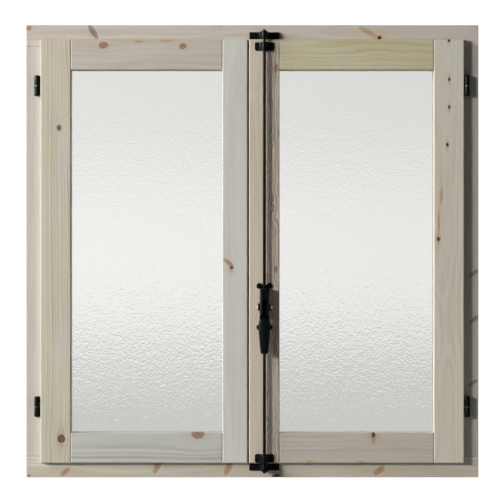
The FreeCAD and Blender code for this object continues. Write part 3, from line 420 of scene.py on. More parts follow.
for number, name in enumerate(["left_bead_left", "left_bead_right", "left_bead_top", "left_bead_bottom",
                               "right_bead_left", "right_bead_right", "right_bead_top",
                               "right_bead_bottom"]):
    boards[name] = dict(
        axis="x" if name.endswith(("top", "bottom")) else "z", early=rgb(214, 203, 182),
        late=rgb(184, 162, 126),
        tint=rgb(210, 194, 168), pith=(0.02, 0.03 + 0.01 * (number % 3)), ring=0.0036, drift=0.002,
        waves=0.3, contrast=0.4, tintShare=0.3, seed=20.0 + 1.7 * number, knots=[])


woodLook = {"lineHeight": 0.6, "smooth": 0.58, "rough": 0.76, "specular": 0.3, "relief": 0.00025,
            "strength": 0.6, "spread": 0.8, "thinSpread": 0.2}


def grainOn(tree, vector, push, settings):
    return useGroup(tree, groups["grain"], {
        "Vector": vector, "Push": push, "Seed": settings["seed"], "Pith Across": settings["pith"][0],
        "Pith Depth": settings["pith"][1], "Ring Width": settings["ring"], "Drift": settings["drift"],
        "Waves": settings["waves"], "Early": settings["early"], "Late": settings["late"],
        "Tint": settings["tint"], "Contrast": settings["contrast"], "Tint Share": settings["tintShare"]})


def boardMaterial(name, settings):
    # the board's own axes, from its middle: first along the grain, then across the face, then its depth
    low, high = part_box(name)
    middle = (low + high) / 2
    material, tree, shader, place = newMaterial(name + "_wood")
    centred = addNode(tree, "ShaderNodeMapping", {"Vector": place, "Location": -middle}).outputs[0]
    x, y, z = split(tree, centred)
    lengthwise = settings["axis"] == "x"
    vector = joined(tree, x, z, y) if lengthwise else joined(tree, z, x, y)
    found = []
    push = 0.0
    for kind, knotX, knotZ, length, width, slant in settings["knots"]:
        offX, offZ = knotX - middle.x, knotZ - middle.z
        along, across = (offX, offZ) if lengthwise else (offZ, offX)
        thin = kind in ("pitch", "spike", "brown")
        spot = useGroup(tree, groups["knotPlace"], {
            "Vector": vector, "Along": along, "Across": across, "Length": length, "Width": width,
            "Slant": math.radians(-slant), "Spread": woodLook["thinSpread" if thin else "spread"]})
        push = maths(tree, "ADD", push, spot["Push"])
        found.append((kind, spot))
    grain = grainOn(tree, vector, push, settings)
    colour = grain["Colour"]
    height = maths(tree, "MULTIPLY_ADD", grain["Line"], woodLook["lineHeight"], grain["Fibre"])
    if "figure" in settings:
        # one side of the board is cut closer to the heart, and shows bolder lines
        figure = settings["figure"]
        bold = grainOn(tree, vector, push, {**settings, **figure})
        edge = maths(tree, "SUBTRACT", split(tree, vector)[1], push)
        colour = mixColours(tree, ramped(tree, edge, figure["start"], figure["end"]), colour, bold["Colour"])
    for kind, spot in found:
        painted = useGroup(tree, groups["knotPaint"], dict(
            knotKinds[kind], Colour=colour, Vector=vector, Distance=spot["Distance"], Reach=spot["Reach"]))
        colour = painted["Colour"]
        height = maths(tree, "SUBTRACT", height, painted["Hollow"])
    tree.links.new(colour, shader.inputs["Base Color"])
    tree.links.new(ramped(tree, grain["Fibre"], 0.2, 0.8, woodLook["smooth"], woodLook["rough"]),
                   shader.inputs["Roughness"])
    shader.inputs["Specular IOR Level"].default_value = woodLook["specular"]
    bumped(tree, shader, height, woodLook["relief"], woodLook["strength"])
    return material


def assign(name, material):
    for place in cadNodes[name].material_slots:
        place.material = material


for name, settings in boards.items():
    assign(name, boardMaterial(name, settings))
print("boards finished:", len(boards))


pegLook = {"early": rgb(196, 176, 142), "late": rgb(150, 122, 84), "tint": rgb(184, 158, 120),
           "pith": (0.0, 0.0),
           "ring": 0.0014, "drift": 0.001, "waves": 0.3, "contrast": 0.6, "tintShare": 0.3, "seed": 3.3,
           "smooth": 0.66, "rough": 0.82, "specular": 0.25, "relief": 0.0002, "strength": 0.5}


def pegMaterial():
    # end grain of the dowels, seen from behind: small rings about a line along x
    material, tree, shader, place = newMaterial("pegWood")
    x, y, z = split(tree, place)
    grain = grainOn(tree, joined(tree, y, x, z), 0.0, pegLook)
    tree.links.new(grain["Colour"], shader.inputs["Base Color"])
    tree.links.new(ramped(tree, grain["Fibre"], 0.2, 0.8, pegLook["smooth"], pegLook["rough"]),
                   shader.inputs["Roughness"])
    shader.inputs["Specular IOR Level"].default_value = pegLook["specular"]
    bumped(tree, shader, grain["Line"], pegLook["relief"], pegLook["strength"])
    return material


def rubbedMaterial(name, look):
    # rubbed patches change the colour and the gloss, and fine pebbles lift the skin
    material, tree, shader, place = newMaterial(name)
    skin = useGroup(tree, groups["handling"], {"Vector": place, "Patch Size": look["patch"],
                                               "Pebble Size": look["pebble"]})
    share = maths(tree, "MULTIPLY", skin["Patches"], look["wornShare"])
    tree.links.new(mixColours(tree, share, look["colour"], look["worn"]), shader.inputs["Base Color"])
    tree.links.new(ramped(tree, skin["Patches"], 0.0, 1.0, look["rough"], look["wornRough"]),
                   shader.inputs["Roughness"])
    shader.inputs["Metallic"].default_value = look["metallic"]
    shader.inputs["Specular IOR Level"].default_value = look["specular"]
    bumped(tree, shader, skin["Pebbles"], look["relief"], look["strength"])
    return material


# powder-coated black, for the hinges and the bolt
coatLook = {"colour": (0.0022, 0.0026, 0.0036, 1.0), "worn": (0.006, 0.0075, 0.011, 1.0), "wornShare": 0.5,
            "rough": 0.42, "wornRough": 0.32, "metallic": 0.0, "specular": 0.17, "patch": 0.018,
            "pebble": 0.0011, "relief": 0.00012, "strength": 0.5}
# moulded black, a little duller
gripSkin = dict(coatLook, colour=(0.0022, 0.0027, 0.0038, 1.0), rough=0.46, wornRough=0.36, pebble=0.0014)
steelLook = {"colour": (0.93, 0.93, 0.92, 1.0), "worn": (0.75, 0.75, 0.74, 1.0), "wornShare": 0.45,
             "rough": 0.3,
             "wornRough": 0.44, "metallic": 1.0, "specular": 0.5, "patch": 0.006, "pebble": 0.0006,
             "relief": 0.00004, "strength": 0.3}
brassLook = dict(steelLook, colour=(0.3, 0.23, 0.13, 1.0), worn=(0.16, 0.12, 0.07, 1.0), rough=0.36,
                 wornRough=0.5)
# silicone bedding round the panes
sealLook = {"colour": rgb(222, 220, 214), "worn": rgb(196, 192, 182), "wornShare": 0.6, "rough": 0.42,
            "wornRough": 0.56, "metallic": 0.0, "specular": 0.5, "patch": 0.012, "pebble": 0.0015,
            "relief": 0.0001, "strength": 0.4}
# pebble and ripple are cycles per metre; shadow is the share of light that a pane lets through to the room
glassLook = {"colour": (0.99, 0.985, 0.962, 1.0), "shadow": (0.2, 0.21, 0.2, 1.0), "ior": 1.5,
             "pebble": 225.0,
             "pebbleSoft": 0.8, "ripple": 92.0, "rippleHeight": 1.6, "pebbleHeight": -0.8, "relief": 0.0004,
             "strength": 0.6, "smooth": 0.04, "rough": 0.1}


def glassMaterial():
    # rolled obscure glass: height = ripple share * slow noise + pebble share * distance to the nearest cell
    material, tree, shader, place = newMaterial("obscureGlass")
    cells = {"Vector": place, "Scale": glassLook["pebble"], "Smoothness": glassLook["pebbleSoft"]}
    pebbles = addNode(tree, "ShaderNodeTexVoronoi", cells, feature="SMOOTH_F1").outputs["Distance"]
    ripple = noise(tree, place, glassLook["ripple"], 2.0)
    height = maths(tree, "MULTIPLY_ADD", ripple, glassLook["rippleHeight"],
                   maths(tree, "MULTIPLY", pebbles, glassLook["pebbleHeight"]))
    shader.inputs["Base Color"].default_value = glassLook["colour"]
    shader.inputs["Transmission Weight"].default_value = 1.0
    shader.inputs["IOR"].default_value = glassLook["ior"]
    tree.links.new(ramped(tree, ripple, 0.3, 0.7, glassLook["smooth"], glassLook["rough"]),
                   shader.inputs["Roughness"])
    bumped(tree, shader, height, glassLook["relief"], glassLook["strength"])
    clear = addNode(tree, "ShaderNodeBsdfTransparent", {0: glassLook["shadow"]})
    mixSurface(tree, tree.nodes.new("ShaderNodeLightPath").outputs["Is Shadow Ray"], shader, clear)
    return material


finishes = {
    "pegs": pegMaterial(),
    "black": rubbedMaterial("blackCoat", coatLook),
    "grip": rubbedMaterial("gripBlack", gripSkin),
    "steel": rubbedMaterial("brightSteel", steelLook),
    "brass": rubbedMaterial("brassWasher", brassLook),
    "seal": rubbedMaterial("paleSeal", sealLook),
    "glass": glassMaterial(),
}
slotFinish = {"peg_wood": "pegs", "black_metal": "black", "grip_black": "grip", "bright_steel": "steel",
              "brass_washer": "brass", "glazing_seal": "seal", "obscure_glass": "glass"}
for row in frame["record"]["subparts"]:
    if row["material_slot"] in slotFinish:
        assign(row["node"], finishes[slotFinish[row["material_slot"]]])
print("finishes made:", ", ".join(finishes))


def softened(points, reach, steps=5):
    # polyline with each inner corner swapped for a short curve: B(t) = (1-t)^2 A + 2t(1-t) P + t^2 C
    points = np.asarray(points, float)
    out = [points[:1]]
    t = np.linspace(0.0, 1.0, steps)[:, None]
    for before, corner, after in zip(points[:-2], points[1:-1], points[2:]):
        lengths = np.linalg.norm(before - corner), np.linalg.norm(after - corner)
        a = corner + (before - corner) * min(reach / lengths[0], 0.5)
        c = corner + (after - corner) * min(reach / lengths[1], 0.5)
        out.append((1 - t) ** 2 * a + 2 * t * (1 - t) * corner + t ** 2 * c)
    return np.concatenate(out + [points[-1:]])


def gridFaces(rows, columns):
    # quads of a grid whose columns run round and close: a corner's number = row * columns + column
    r, c = np.meshgrid(np.arange(rows - 1), np.arange(columns), indexing="ij")
    here, beside = r * columns + c, r * columns + (c + 1) % columns
    return np.stack([here, beside, beside + columns, here + columns], -1).reshape(-1, 4)


def lathe(profile, base, axis, segments=48):
    # for each (radius, height) of the profile: base + axis * height + radius * (cos a * e1 + sin a * e2)
    profile = np.asarray(profile, float)
    axis = np.asarray(axis, float) / np.linalg.norm(axis)
    e1 = np.cross(axis, (0.0, 0.0, 1.0) if abs(axis[2]) < 0.9 else (1.0, 0.0, 0.0))
    e1 /= np.linalg.norm(e1)
    e2 = np.cross(axis, e1)
    angle = np.linspace(0.0, 2 * np.pi, segments, endpoint=False)
    outward = np.cos(angle)[:, None] * e1 + np.sin(angle)[:, None] * e2
    points = np.asarray(base, float) + profile[:, 1, None, None] * axis + profile[:, 0, None, None] * outward
    return points.reshape(-1, 3), gridFaces(len(profile), segments)


def capped(rings):
    # rings of points, closed at both ends by a row drawn to the end ring's middle
    rings = np.asarray(rings, float)
    first = np.repeat(rings[:1].mean(1, keepdims=True), rings.shape[1], 1)
    last = np.repeat(rings[-1:].mean(1, keepdims=True), rings.shape[1], 1)
    rings = np.concatenate([first, rings, last])
    return rings.reshape(-1, 3), gridFaces(rings.shape[0], rings.shape[1])


def triangleWave(distance, pitch):
    # from 1 at each whole pitch down to 0 half way: |fraction of distance / pitch - 1/2| * 2
    return np.abs((distance / pitch) % 1.0 - 0.5) * 2


bodyOf = {node: body for body, members in frame["record"]["behaviour"]["bodies"].items() for node in members}
mergeWithin = 2e-6


def addPiece(name, surfaces, standsFor, finish, sharp=32.0):
    # one mesh from one or more closed surfaces, with seams and poles merged and faces turned outwards
    points, faces, start = [], [], 0
    for surface in surfaces:
        points.append(surface[0])
        faces.append(surface[1] + start)
        start += len(surface[0])
    mesh = bpy.data.meshes.new(name)
    mesh.from_pydata(np.concatenate(points).tolist(), [], np.concatenate(faces).tolist())
    shape = bmesh.new()
    shape.from_mesh(mesh)
    bmesh.ops.remove_doubles(shape, verts=shape.verts, dist=mergeWithin)
    bmesh.ops.dissolve_degenerate(shape, edges=shape.edges, dist=mergeWithin / 20)
    bmesh.ops.recalc_face_normals(shape, faces=shape.faces)
    shape.to_mesh(mesh)
    shape.free()
    return finishPiece(name, mesh, standsFor, finish, sharp)


def finishPiece(name, mesh, standsFor, finish, sharp):
    mesh.materials.clear()
    mesh.materials.append(finishes[finish])
    mesh.shade_smooth()
    mesh.set_sharp_from_angle(angle=math.radians(sharp))
    piece = bpy.data.objects.new(name, mesh)
    bpy.context.scene.collection.objects.link(piece)
    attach(piece, bodyOf[standsFor])
    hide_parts(standsFor)
    return piece


def softenedCopy(node, name, finish, width):
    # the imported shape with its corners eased, for castings and plates
    mesh = cadNodes[node].data.copy()
    shape = bmesh.new()
    shape.from_mesh(mesh)
    bmesh.ops.remove_doubles(shape, verts=shape.verts, dist=mergeWithin)
    bmesh.ops.dissolve_limit(shape, angle_limit=math.radians(1.0), verts=shape.verts, edges=shape.edges)
    shape.to_mesh(mesh)
    shape.free()
    piece = finishPiece(name, mesh, node, finish, 30.0)
    ease = piece.modifiers.new("ease", "BEVEL")
    ease.width, ease.segments = width, 2
    ease.limit_method, ease.angle_limit = "ANGLE", math.radians(35)
    return piece


# plain: length of shank with no thread; point: length of its tip; hidden: how far it starts inside the wall
hingeLook = {"radius": 0.0065, "dome": 0.0032, "domeSteps": 9, "edge": 0.0005, "bore": 0.00335,
             "boreDepth": 0.017,
             "shank": 0.0034, "thread": 0.0005, "pitch": 0.0022, "hidden": 0.001, "plain": 0.004,
             "point": 0.004, "shankSteps": 90, "barrelSides": 56, "shankSides": 28}


def hingeHalf(side, end, half):
    look = hingeLook
    node = side + "_" + end + "_hinge_" + half
    low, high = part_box(node)
    x, y = next(j for j in frame["joints"] if j["child"] == side + "_sash")["pos_m"][:2]
    up = half == "upper"
    length = high.z - low.z
    corner = [(0.0, look["boreDepth"]), (look["bore"], look["boreDepth"]), (look["bore"], 0.0),
              (look["radius"], 0.0), (look["radius"], length)]
    barrel = softened(corner, look["edge"])[:-1]
    # dome: radius = flat + dome * cos a, height = length - dome + dome * sin a
    a = np.linspace(0.0, np.pi / 2, look["domeSteps"])
    flat = look["radius"] - look["dome"]
    dome = np.stack([flat + look["dome"] * np.cos(a), length - look["dome"] + look["dome"] * np.sin(a)], 1)
    profile = np.concatenate([barrel, dome, [(0.0, length)]])
    base = (x, y, low.z if up else high.z)
    surfaces = [lathe(profile, base, (0, 0, 1 if up else -1), look["barrelSides"])]
    # shank: radius = shank - thread * triangle wave of the distance along it
    middle = (low.z + high.z) / 2
    away = -1.0 if side == "right" else 1.0
    reach = abs((low.x if away < 0 else high.x) - x) if up else high.y - y
    start = look["bore"] + look["hidden"]
    along = np.linspace(start, reach - look["point"], look["shankSteps"])
    threaded = along > look["radius"] + look["plain"]
    radius = look["shank"] - look["thread"] * triangleWave(along, look["pitch"]) * threaded
    shank = np.concatenate([[(0.0, start)], np.stack([radius, along], 1), [(0.0, reach)]])
    surfaces.append(lathe(shank, (x, y, middle), (away, 0, 0) if up else (0, 1, 0), look["shankSides"]))
    return addPiece(side + end.capitalize() + "Hinge" + half.capitalize(), surfaces, node, "black")


for side in ("left", "right"):
    for end in ("top", "bottom"):
        for half in ("upper", "lower"):
            hingeHalf(side, end, half)
print("hinges finished")


rodLook = {"tip": 0.001, "spigot": 0.002, "upperSpigot": 0.008, "lowerSpigot": 0.006, "soft": 0.0004,
           "softSteps": 4, "sides": 40}


def boltRod(node, name, spigotLength):
    # turned outline from the inner end: a thin spigot, the full rod, and a 45 degree cone at the tip
    look = rodLook
    low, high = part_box(node)
    x, y = (low.x + high.x) / 2, (low.y + high.y) / 2
    radius, length = (high.x - low.x) / 2, high.z - low.z
    up = node.startswith("upper")
    outline = [(0.0, 0.0), (look["spigot"], 0.0), (look["spigot"], spigotLength), (radius, spigotLength),
               (radius, length - look["tip"]), (radius - look["tip"], length), (0.0, length)]
    profile = softened(outline, look["soft"], look["softSteps"])
    base, axis = ((x, y, low.z), (0, 0, 1)) if up else ((x, y, high.z), (0, 0, -1))
    return addPiece(name, [lathe(profile, base, axis, look["sides"])], node, "black", 40.0)


boltRod("upper_rod", "upperBoltRod", rodLook["upperSpigot"])
boltRod("lower_rod", "lowerBoltRod", rodLook["lowerSpigot"])


pinLook = {"shaft": 0.0025, "headLength": 0.0038, "rimLength": 0.0011, "edge": 0.0002, "domeSteps": 12,
           "sides": 40}


def pivotPin():
    # a straight shaft between two domed heads: radius = head * cos a, length = half - dome + dome * sin a
    look = pinLook
    low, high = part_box("lever_pivot_pin")
    head, half = (high.z - low.z) / 2, (high.x - low.x) / 2
    dome = look["headLength"] - look["rimLength"]
    shoulder = half - look["headLength"]
    a = np.linspace(np.pi / 2, 0.0, look["domeSteps"])
    cap = np.stack([head * np.cos(a), half - dome + dome * np.sin(a)], 1)
    neck = [(head, shoulder + look["edge"]), (head - look["edge"], shoulder), (look["shaft"], shoulder)]
    right = np.concatenate([cap, neck])
    outline = np.concatenate([right, right[::-1] * (1, -1)])
    pin = lathe(outline, (low + high) / 2, (1, 0, 0), look["sides"])
    return addPiece("pivotPin", [pin], "lever_pivot_pin", "steel", 40.0)


pivotPin()


# stations: share of its length, share of its full width, share taken off its back, share off its front
gripLook = {"stations": [(0.0, 0.80, 0.09, 0.10), (0.08, 0.94, 0.015, 0.015), (0.3, 1.0, 0.0, 0.0),
                         (0.62, 0.86, 0.01, 0.043), (0.93, 0.68, 0.06, 0.143), (1.0, 0.58, 0.14, 0.22)],
            "square": 2.9, "rings": 60, "sides": 64, "round": 0.0018, "roll": 0.9, "samples": 241,
            "window": 25,
            "flute": 0.00045, "fluteAt": 0.5, "fluteWide": 0.12, "fluteMiddle": 0.45, "fluteLong": 0.28}


def leverGrip():
    look = gripLook
    low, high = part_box("lever_grip")
    centreX, full, depth = (low.x + high.x) / 2, (high.x - low.x) / 2, high.y - low.y
    length = high.z - low.z
    share, wide, back, front = np.array(look["stations"]).T
    s = (1 - np.cos(np.linspace(0.0, np.pi, look["rings"]))) / 2

    def along(values):
        # smooth curve through the stations: straight steps averaged over a short window
        fine = np.linspace(0.0, 1.0, look["samples"])
        straight = np.interp(fine, share, values)
        window = np.hanning(look["window"]) / np.hanning(look["window"]).sum()
        smooth = np.convolve(np.pad(straight, look["window"] // 2, mode="edge"), window, mode="valid")
        return np.interp(s, fine, smooth)

    half = full * along(wide)
    yFront, yBack = low.y + depth * along(front), high.y - depth * along(back)
    # ends roll over: inset = roll * round * (1 - sqrt(1 - (1 - d / round)^2)), d in from either end
    d = np.minimum(s, 1 - s) * length
    near = np.clip(1 - d / look["round"], 0.0, 1.0)
    inset = look["round"] * (1 - np.sqrt(1 - near ** 2)) * look["roll"]
    half, reach = half - inset, (yBack - yFront) / 2 - inset
    # section: superellipse x = half * sgn(cos) |cos|^(2/p), y = reach * sgn(sin) |sin|^(2/p)
    a = np.linspace(0.0, 2 * np.pi, look["sides"], endpoint=False)
    power = 2 / look["square"]
    cos, sin = np.cos(a), np.sin(a)
    u = np.sign(cos) * np.abs(cos) ** power
    v = np.sign(sin) * np.abs(sin) ** power
    # flute = depth * e^-((|u| - place) / width)^2 on the front, fading as e^-((s - middle) / long)^4
    flute = look["flute"] * np.exp(-((np.abs(u) - look["fluteAt"]) / look["fluteWide"]) ** 2) * (v < 0)
    fade = np.exp(-((s - look["fluteMiddle"]) / look["fluteLong"]) ** 4)
    points = np.empty((len(s), len(a), 3))
    points[..., 0] = centreX + half[:, None] * u
    points[..., 1] = (yFront + yBack)[:, None] / 2 + reach[:, None] * v + flute * fade[:, None]
    points[..., 2] = (high.z - s * length)[:, None]
    return addPiece("leverGrip", [capped(points)], "lever_grip", "grip", 50.0)


leverGrip()
print("bolt rods, pivot pin and grip finished")


strapLook = {"round": 0.0006, "roundSteps": 5, "crownSteps": 28, "cornerSteps": 8, "bend": 0.0022,
             "bendSteps": 8, "legGap": 0.0001}


def strapSection():
    # rounded rectangle as arrays: 1 on the outer face or 0 on the inner, inset from that face, inset from the
    # edge above or below, and +1 or -1 for that edge; the insets are round * (1 - cos q) and round * (1 - sin q)
    q = np.linspace(0.0, np.pi / 2, strapLook["roundSteps"])
    corners = []
    for face, edge, angle in ((1, 1, q), (0, 1, q[::-1]), (0, -1, q), (1, -1, q[::-1])):
        insets = strapLook["round"] * (1 - np.cos(angle)), strapLook["round"] * (1 - np.sin(angle))
        corners.append([np.full(len(q), face), *insets, np.full(len(q), edge)])
    return np.concatenate(corners, axis=1)


def strapMesh(outer, inner, half, z):
    # the strip between two paths in plan, carried up through its height, with its four long edges rounded
    across = outer - inner
    thick = np.linalg.norm(across, axis=1, keepdims=True)
    face, inFromFace, inFromEdge, edge = strapSection()
    offset = face * thick + np.where(face > 0, -inFromFace, inFromFace)
    plan = inner[:, None, :] + (across / thick)[:, None, :] * offset[..., None]
    height = z + edge * (half[:, None] - inFromEdge)
    return capped(np.concatenate([plan, height[..., None]], -1))


def keeperStrap(node, name, shape):
    # paths from the left foot to the right one: over the loop outside, and round the rod's channel inside
    low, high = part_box(node)
    x, z, half = (low.x + high.x) / 2, (low.z + high.z) / 2, (high.z - low.z) / 2
    footX, crown, bore, corner = (high.x - low.x) / 2, shape["crown"], shape["bore"], shape["corner"]
    out = high.y - low.y - crown
    a = np.linspace(np.pi, 0.0, strapLook["crownSteps"])
    arc = np.stack([crown * np.cos(a), -(out + crown * np.sin(a))], 1)
    channel = np.stack([bore * np.cos(a), -(out + bore * np.sin(a))], 1)
    # the foot's round corners need points of their own: x = corner * (1 - cos q) from its end
    q = np.linspace(0.0, np.pi / 2, strapLook["cornerSteps"])
    footEnd = np.stack([-footX + corner * (1 - np.cos(q)), np.full(len(q), -shape["foot"])], 1)
    leg = [footEnd[-1], (-shape["base"] - strapLook["legGap"], -shape["foot"]), (-crown, -out), arc[1]]
    left = np.concatenate([footEnd, softened(leg, strapLook["bend"], strapLook["bendSteps"])[1:-1]])
    outer = np.concatenate([left, arc[1:-1], left[::-1] * (-1, 1)])
    # each outer point of the foot is matched with the one straight below it, until the leg begins; from
    # there the inner points climb evenly up the channel's side
    onFoot = left[:, 0] < -shape["base"]
    beneath = np.stack([left[onFoot, 0], np.zeros(onFoot.sum())], 1)
    t = np.linspace(0.0, 1.0, len(left) - len(beneath) + 1)[1:, None]
    toChannel = np.concatenate([beneath, np.array((-bore, 0.0)) + np.array((0.0, -out)) * t])
    inner = np.concatenate([toChannel, channel[1:-1], toChannel[::-1] * (-1, 1)])
    # half height = half - (corner - sqrt(corner^2 - (corner - t)^2)) within one corner of each end
    t = np.clip(footX - np.abs(outer[:, 0]), 0.0, corner)
    halves = half - (corner - np.sqrt(np.maximum(corner ** 2 - (corner - t) ** 2, 0.0)))
    place = np.array((x, high.y))
    return addPiece(name, [strapMesh(place + outer, place + inner, halves, z)], node, "black", 38.0)


keeperShape = {"crown": 0.0075, "bore": 0.0045, "foot": 0.003, "base": 0.0105, "corner": 0.0008}
guideShape = {"crown": 0.007, "bore": 0.0038, "foot": 0.0025, "base": 0.010, "corner": 0.004}
keeperStrap("top_keeper", "topKeeper", keeperShape)
keeperStrap("bottom_keeper", "bottomKeeper", keeperShape)
keeperStrap("upper_guide", "upperGuide", guideShape)
keeperStrap("lower_guide", "lowerGuide", guideShape)
print("keepers and guides finished")


# plain: length of shaft with no thread; fadeFrom and fadeOver: start and width of a slot's wall, in slot sizes
screwLook = {"head": 0.0037, "headDepth": 0.0022, "shaft": 0.0018, "thread": 0.0003, "pitch": 0.0016,
             "plain": 0.002,
             "point": 0.003, "rise": 0.0008, "slotWide": 0.00055, "slotLong": 0.0019, "slotDeep": 0.0006,
             "fadeFrom": 0.75, "fadeOver": 0.5, "sides": 48, "headRings": 22, "shaftRings": 36,
             "firstTurn": 0.3, "turnStep": 0.7, "keeperOut": 0.022, "guideOut": 0.015, "lobeOut": 0.011}


def woodScrew(x, y, z, length, turn):
    # head: rings that rise by rise * (1 - (r / head)^2), less a cross of slots,
    # deep * max(F(|v|/wide) F(|u|/long), F(|u|/wide) F(|v|/long)), where F falls smoothly from 1 to 0;
    # then the countersink and a shaft whose radius is a triangle wave
    look = screwLook
    a = np.linspace(0.0, 2 * np.pi, look["sides"], endpoint=False)
    r = look["head"] * np.linspace(0.0, 1.0, look["headRings"])[:, None]
    u, v = np.abs(r * np.cos(a + turn)), np.abs(r * np.sin(a + turn))

    def fall(value):
        t = np.clip((value - look["fadeFrom"]) / look["fadeOver"], 0.0, 1.0)
        return 1 - t * t * (3 - 2 * t)

    recess = np.maximum(fall(v / look["slotWide"]) * fall(u / look["slotLong"]),
                        fall(u / look["slotWide"]) * fall(v / look["slotLong"]))
    rise = look["rise"] * (1 - (r / look["head"]) ** 2)
    top = np.stack([x + r * np.cos(a), y - rise + look["slotDeep"] * recess, z + r * np.sin(a)], -1)
    h = np.linspace(look["headDepth"], length - look["point"], look["shaftRings"])
    threaded = h > look["headDepth"] + look["plain"]
    radius = look["shaft"] - look["thread"] * triangleWave(h, look["pitch"]) * threaded
    radius, h = np.append(radius, 0.0)[:, None], np.append(h, length)[:, None]
    shaft = np.stack([x + radius * np.cos(a), y + h + 0 * a, z + radius * np.sin(a)], -1)
    points = np.concatenate([top, shaft])
    return points.reshape(-1, 3), gridFaces(len(points), look["sides"])


def screwSet(node, name, places):
    low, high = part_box(node)
    surfaces = [woodScrew(x, low.y, z, high.y - low.y, screwLook["turnStep"] * n + screwLook["firstTurn"])
                for n, (x, z) in enumerate(places)]
    return addPiece(name, surfaces, node, "black", 34.0)


def pairOf(node, out):
    low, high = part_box(node)
    x, z = (low.x + high.x) / 2, (low.z + high.z) / 2
    return [(x - out, z), (x + out, z)]


def lobePlaces():
    # one screw in each lobe of the base plate, at the four corners of the screws' own box
    low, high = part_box("lever_base_screws")
    middle, out, head = (low.x + high.x) / 2, screwLook["lobeOut"], screwLook["head"]
    return [(middle + side * out, z) for side in (-1, 1) for z in (low.z + head, high.z - head)]


screwSet("keeper_screws", "keeperScrews",
         pairOf("top_keeper", screwLook["keeperOut"]) + pairOf("bottom_keeper", screwLook["keeperOut"]))
screwSet("guide_screws", "guideScrews",
         pairOf("upper_guide", screwLook["guideOut"]) + pairOf("lower_guide", screwLook["guideOut"]))
screwSet("lever_base_screws", "leverBaseScrews", lobePlaces())
print("screws finished")


castingEase = {"leverHousing": 0.0005, "leverArm": 0.0003}
softenedCopy("lever_housing", "leverHousing", "black", castingEase["leverHousing"])
softenedCopy("lever_arm", "leverArm", "black", castingEase["leverArm"])
print("castings finished")


# glow and through: how bright the floor reads to the eye and through the panes
floorLook = {"half": 2.2, "drop": 0.0004, "colour": (0.3, 0.3, 0.295, 1.0), "roughness": 0.9, "glow": 1.5,
             "through": 0.6, "seenShare": 0.72}


def makeFloor():
    half, z = floorLook["half"], -floorLook["drop"]
    mesh = bpy.data.meshes.new("floor")
    mesh.from_pydata([(-half, -half, z), (half, -half, z), (half, half, z), (-half, half, z)], [],
                     [(0, 1, 2, 3)])
    floor = bpy.data.objects.new("floor", mesh)
    bpy.context.scene.collection.objects.link(floor)
    material, tree, shader, _ = newMaterial("paleFloor")
    shader.inputs["Base Color"].default_value = floorLook["colour"]
    shader.inputs["Roughness"].default_value = floorLook["roughness"]
    rays = tree.nodes.new("ShaderNodeLightPath").outputs
    strength = maths(tree, "ADD", maths(tree, "MULTIPLY", rays["Is Camera Ray"], floorLook["glow"]),
                     maths(tree, "MULTIPLY", rays["Is Transmission Ray"], floorLook["through"]))
    glow = addNode(tree, "ShaderNodeEmission", {"Color": (1.0, 1.0, 1.0, 1.0), "Strength": strength})
    share = maths(tree, "MULTIPLY_ADD", rays["Is Camera Ray"], floorLook["seenShare"],
                  rays["Is Transmission Ray"], clamp=True)
    mixSurface(tree, share, shader, glow)
    mesh.materials.append(material)


# heights and sides are those of the view direction: the sky pales between two heights, the ground below it
# and the right-hand side are a little darker
worldLook = {"seen": 1.05, "fill": 0.05, "skyFrom": 0.005, "skyTo": 0.075, "horizon": 0.93, "overhead": 0.79,
             "groundFrom": -0.072, "groundTo": -0.024, "ground": 0.68, "side": 0.07, "rightShare": 0.93}


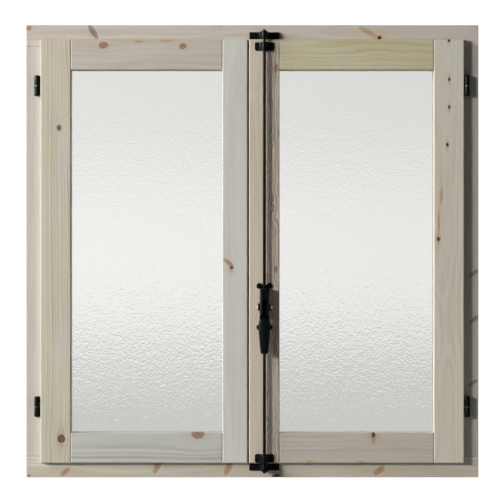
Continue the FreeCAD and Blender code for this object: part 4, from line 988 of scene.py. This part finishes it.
def makeWorld():
    # white all round for the eye; what comes through the panes is a sky that pales towards a low horizon
    look = worldLook
    world = bpy.data.worlds.new("studio")
    bpy.context.scene.world = world
    world.use_nodes = True
    tree = world.node_tree
    tree.nodes.clear()
    output = tree.nodes.new("ShaderNodeOutputWorld")
    across, _, height = split(tree, tree.nodes.new("ShaderNodeTexCoord").outputs["Generated"])
    rays = tree.nodes.new("ShaderNodeLightPath").outputs
    seen, through = rays["Is Camera Ray"], rays["Is Transmission Ray"]
    sky = ramped(tree, height, look["skyFrom"], look["skyTo"], look["horizon"], look["overhead"])
    ground = ramped(tree, height, look["groundFrom"], look["groundTo"], look["ground"], 1.0)
    side = ramped(tree, across, -look["side"], look["side"], 1.0, look["rightShare"], smooth=False)
    outdoors = maths(tree, "MULTIPLY", maths(tree, "MULTIPLY", sky, ground), side)
    value = maths(tree, "ADD", maths(tree, "MULTIPLY", seen, look["seen"]),
                  maths(tree, "MULTIPLY", through, outdoors))
    other = maths(tree, "SUBTRACT", 1.0, maths(tree, "ADD", seen, through), clamp=True)
    value = maths(tree, "ADD", value, maths(tree, "MULTIPLY", other, look["fill"]))
    background = addNode(tree, "ShaderNodeBackground", {"Color": (1.0, 1.0, 1.0, 1.0), "Strength": value})
    tree.links.new(background.outputs[0], output.inputs["Surface"])


def aimed(item, place, target):
    item.location = place
    item.rotation_mode = "QUATERNION"
    item.rotation_quaternion = (Vector(target) - Vector(place)).to_track_quat("-Z", "Y")


# each lamp: turn from straight in front towards the left and rise in degrees, distance, width, power
lampLook = {"keyWindow": (54.0, 12.0, 6.2, 1.06, 250.0), "sideWall": (72.0, 16.0, 6.6, 2.8, 265.0),
            "backSky": (205.0, 35.0, 4.5, 3.2, 130.0), "farSide": (-114.0, 20.0, 4.5, 2.0, 45.0)}
lampColour = (0.97, 0.985, 1.0)


def makeLamp(name, target):
    turn, rise, reach, width, power = lampLook[name]
    turn, rise = math.radians(turn), math.radians(rise)
    offset = (-math.sin(turn) * math.cos(rise) * reach, -math.cos(turn) * math.cos(rise) * reach,
              math.sin(rise) * reach)
    lamp = bpy.data.lights.new(name, "AREA")
    lamp.shape, lamp.size, lamp.energy = "DISK", width, power
    lamp.color = lampColour
    item = bpy.data.objects.new(name, lamp)
    bpy.context.scene.collection.objects.link(item)
    item.visible_camera = False
    item.visible_transmission = False
    aimed(item, target + Vector(offset), target)


# distance and lens width in metres and millimetres; the shifts centre the window in the frame
cameraLook = {"distance": 4.5, "lens": 146.57, "sensor": 36.0, "shiftX": -0.0046, "shiftY": 0.0025}


def makeCamera(face):
    data = bpy.data.cameras.new("camera")
    data.sensor_width, data.lens = cameraLook["sensor"], cameraLook["lens"]
    data.shift_x, data.shift_y = cameraLook["shiftX"], cameraLook["shiftY"]
    item = bpy.data.objects.new("camera", data)
    bpy.context.scene.collection.objects.link(item)
    aimed(item, (0.0, face.y - cameraLook["distance"], face.z), (0.0, face.y, face.z))
    bpy.context.scene.camera = item


middle = (cadLow + cadHigh) / 2
middle.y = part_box("frame_head")[0].y
makeFloor()
makeWorld()
for name in lampLook:
    makeLamp(name, middle)
makeCamera(middle)
bpy.context.scene.view_settings.view_transform = "Standard"
print("room, light and camera placed")
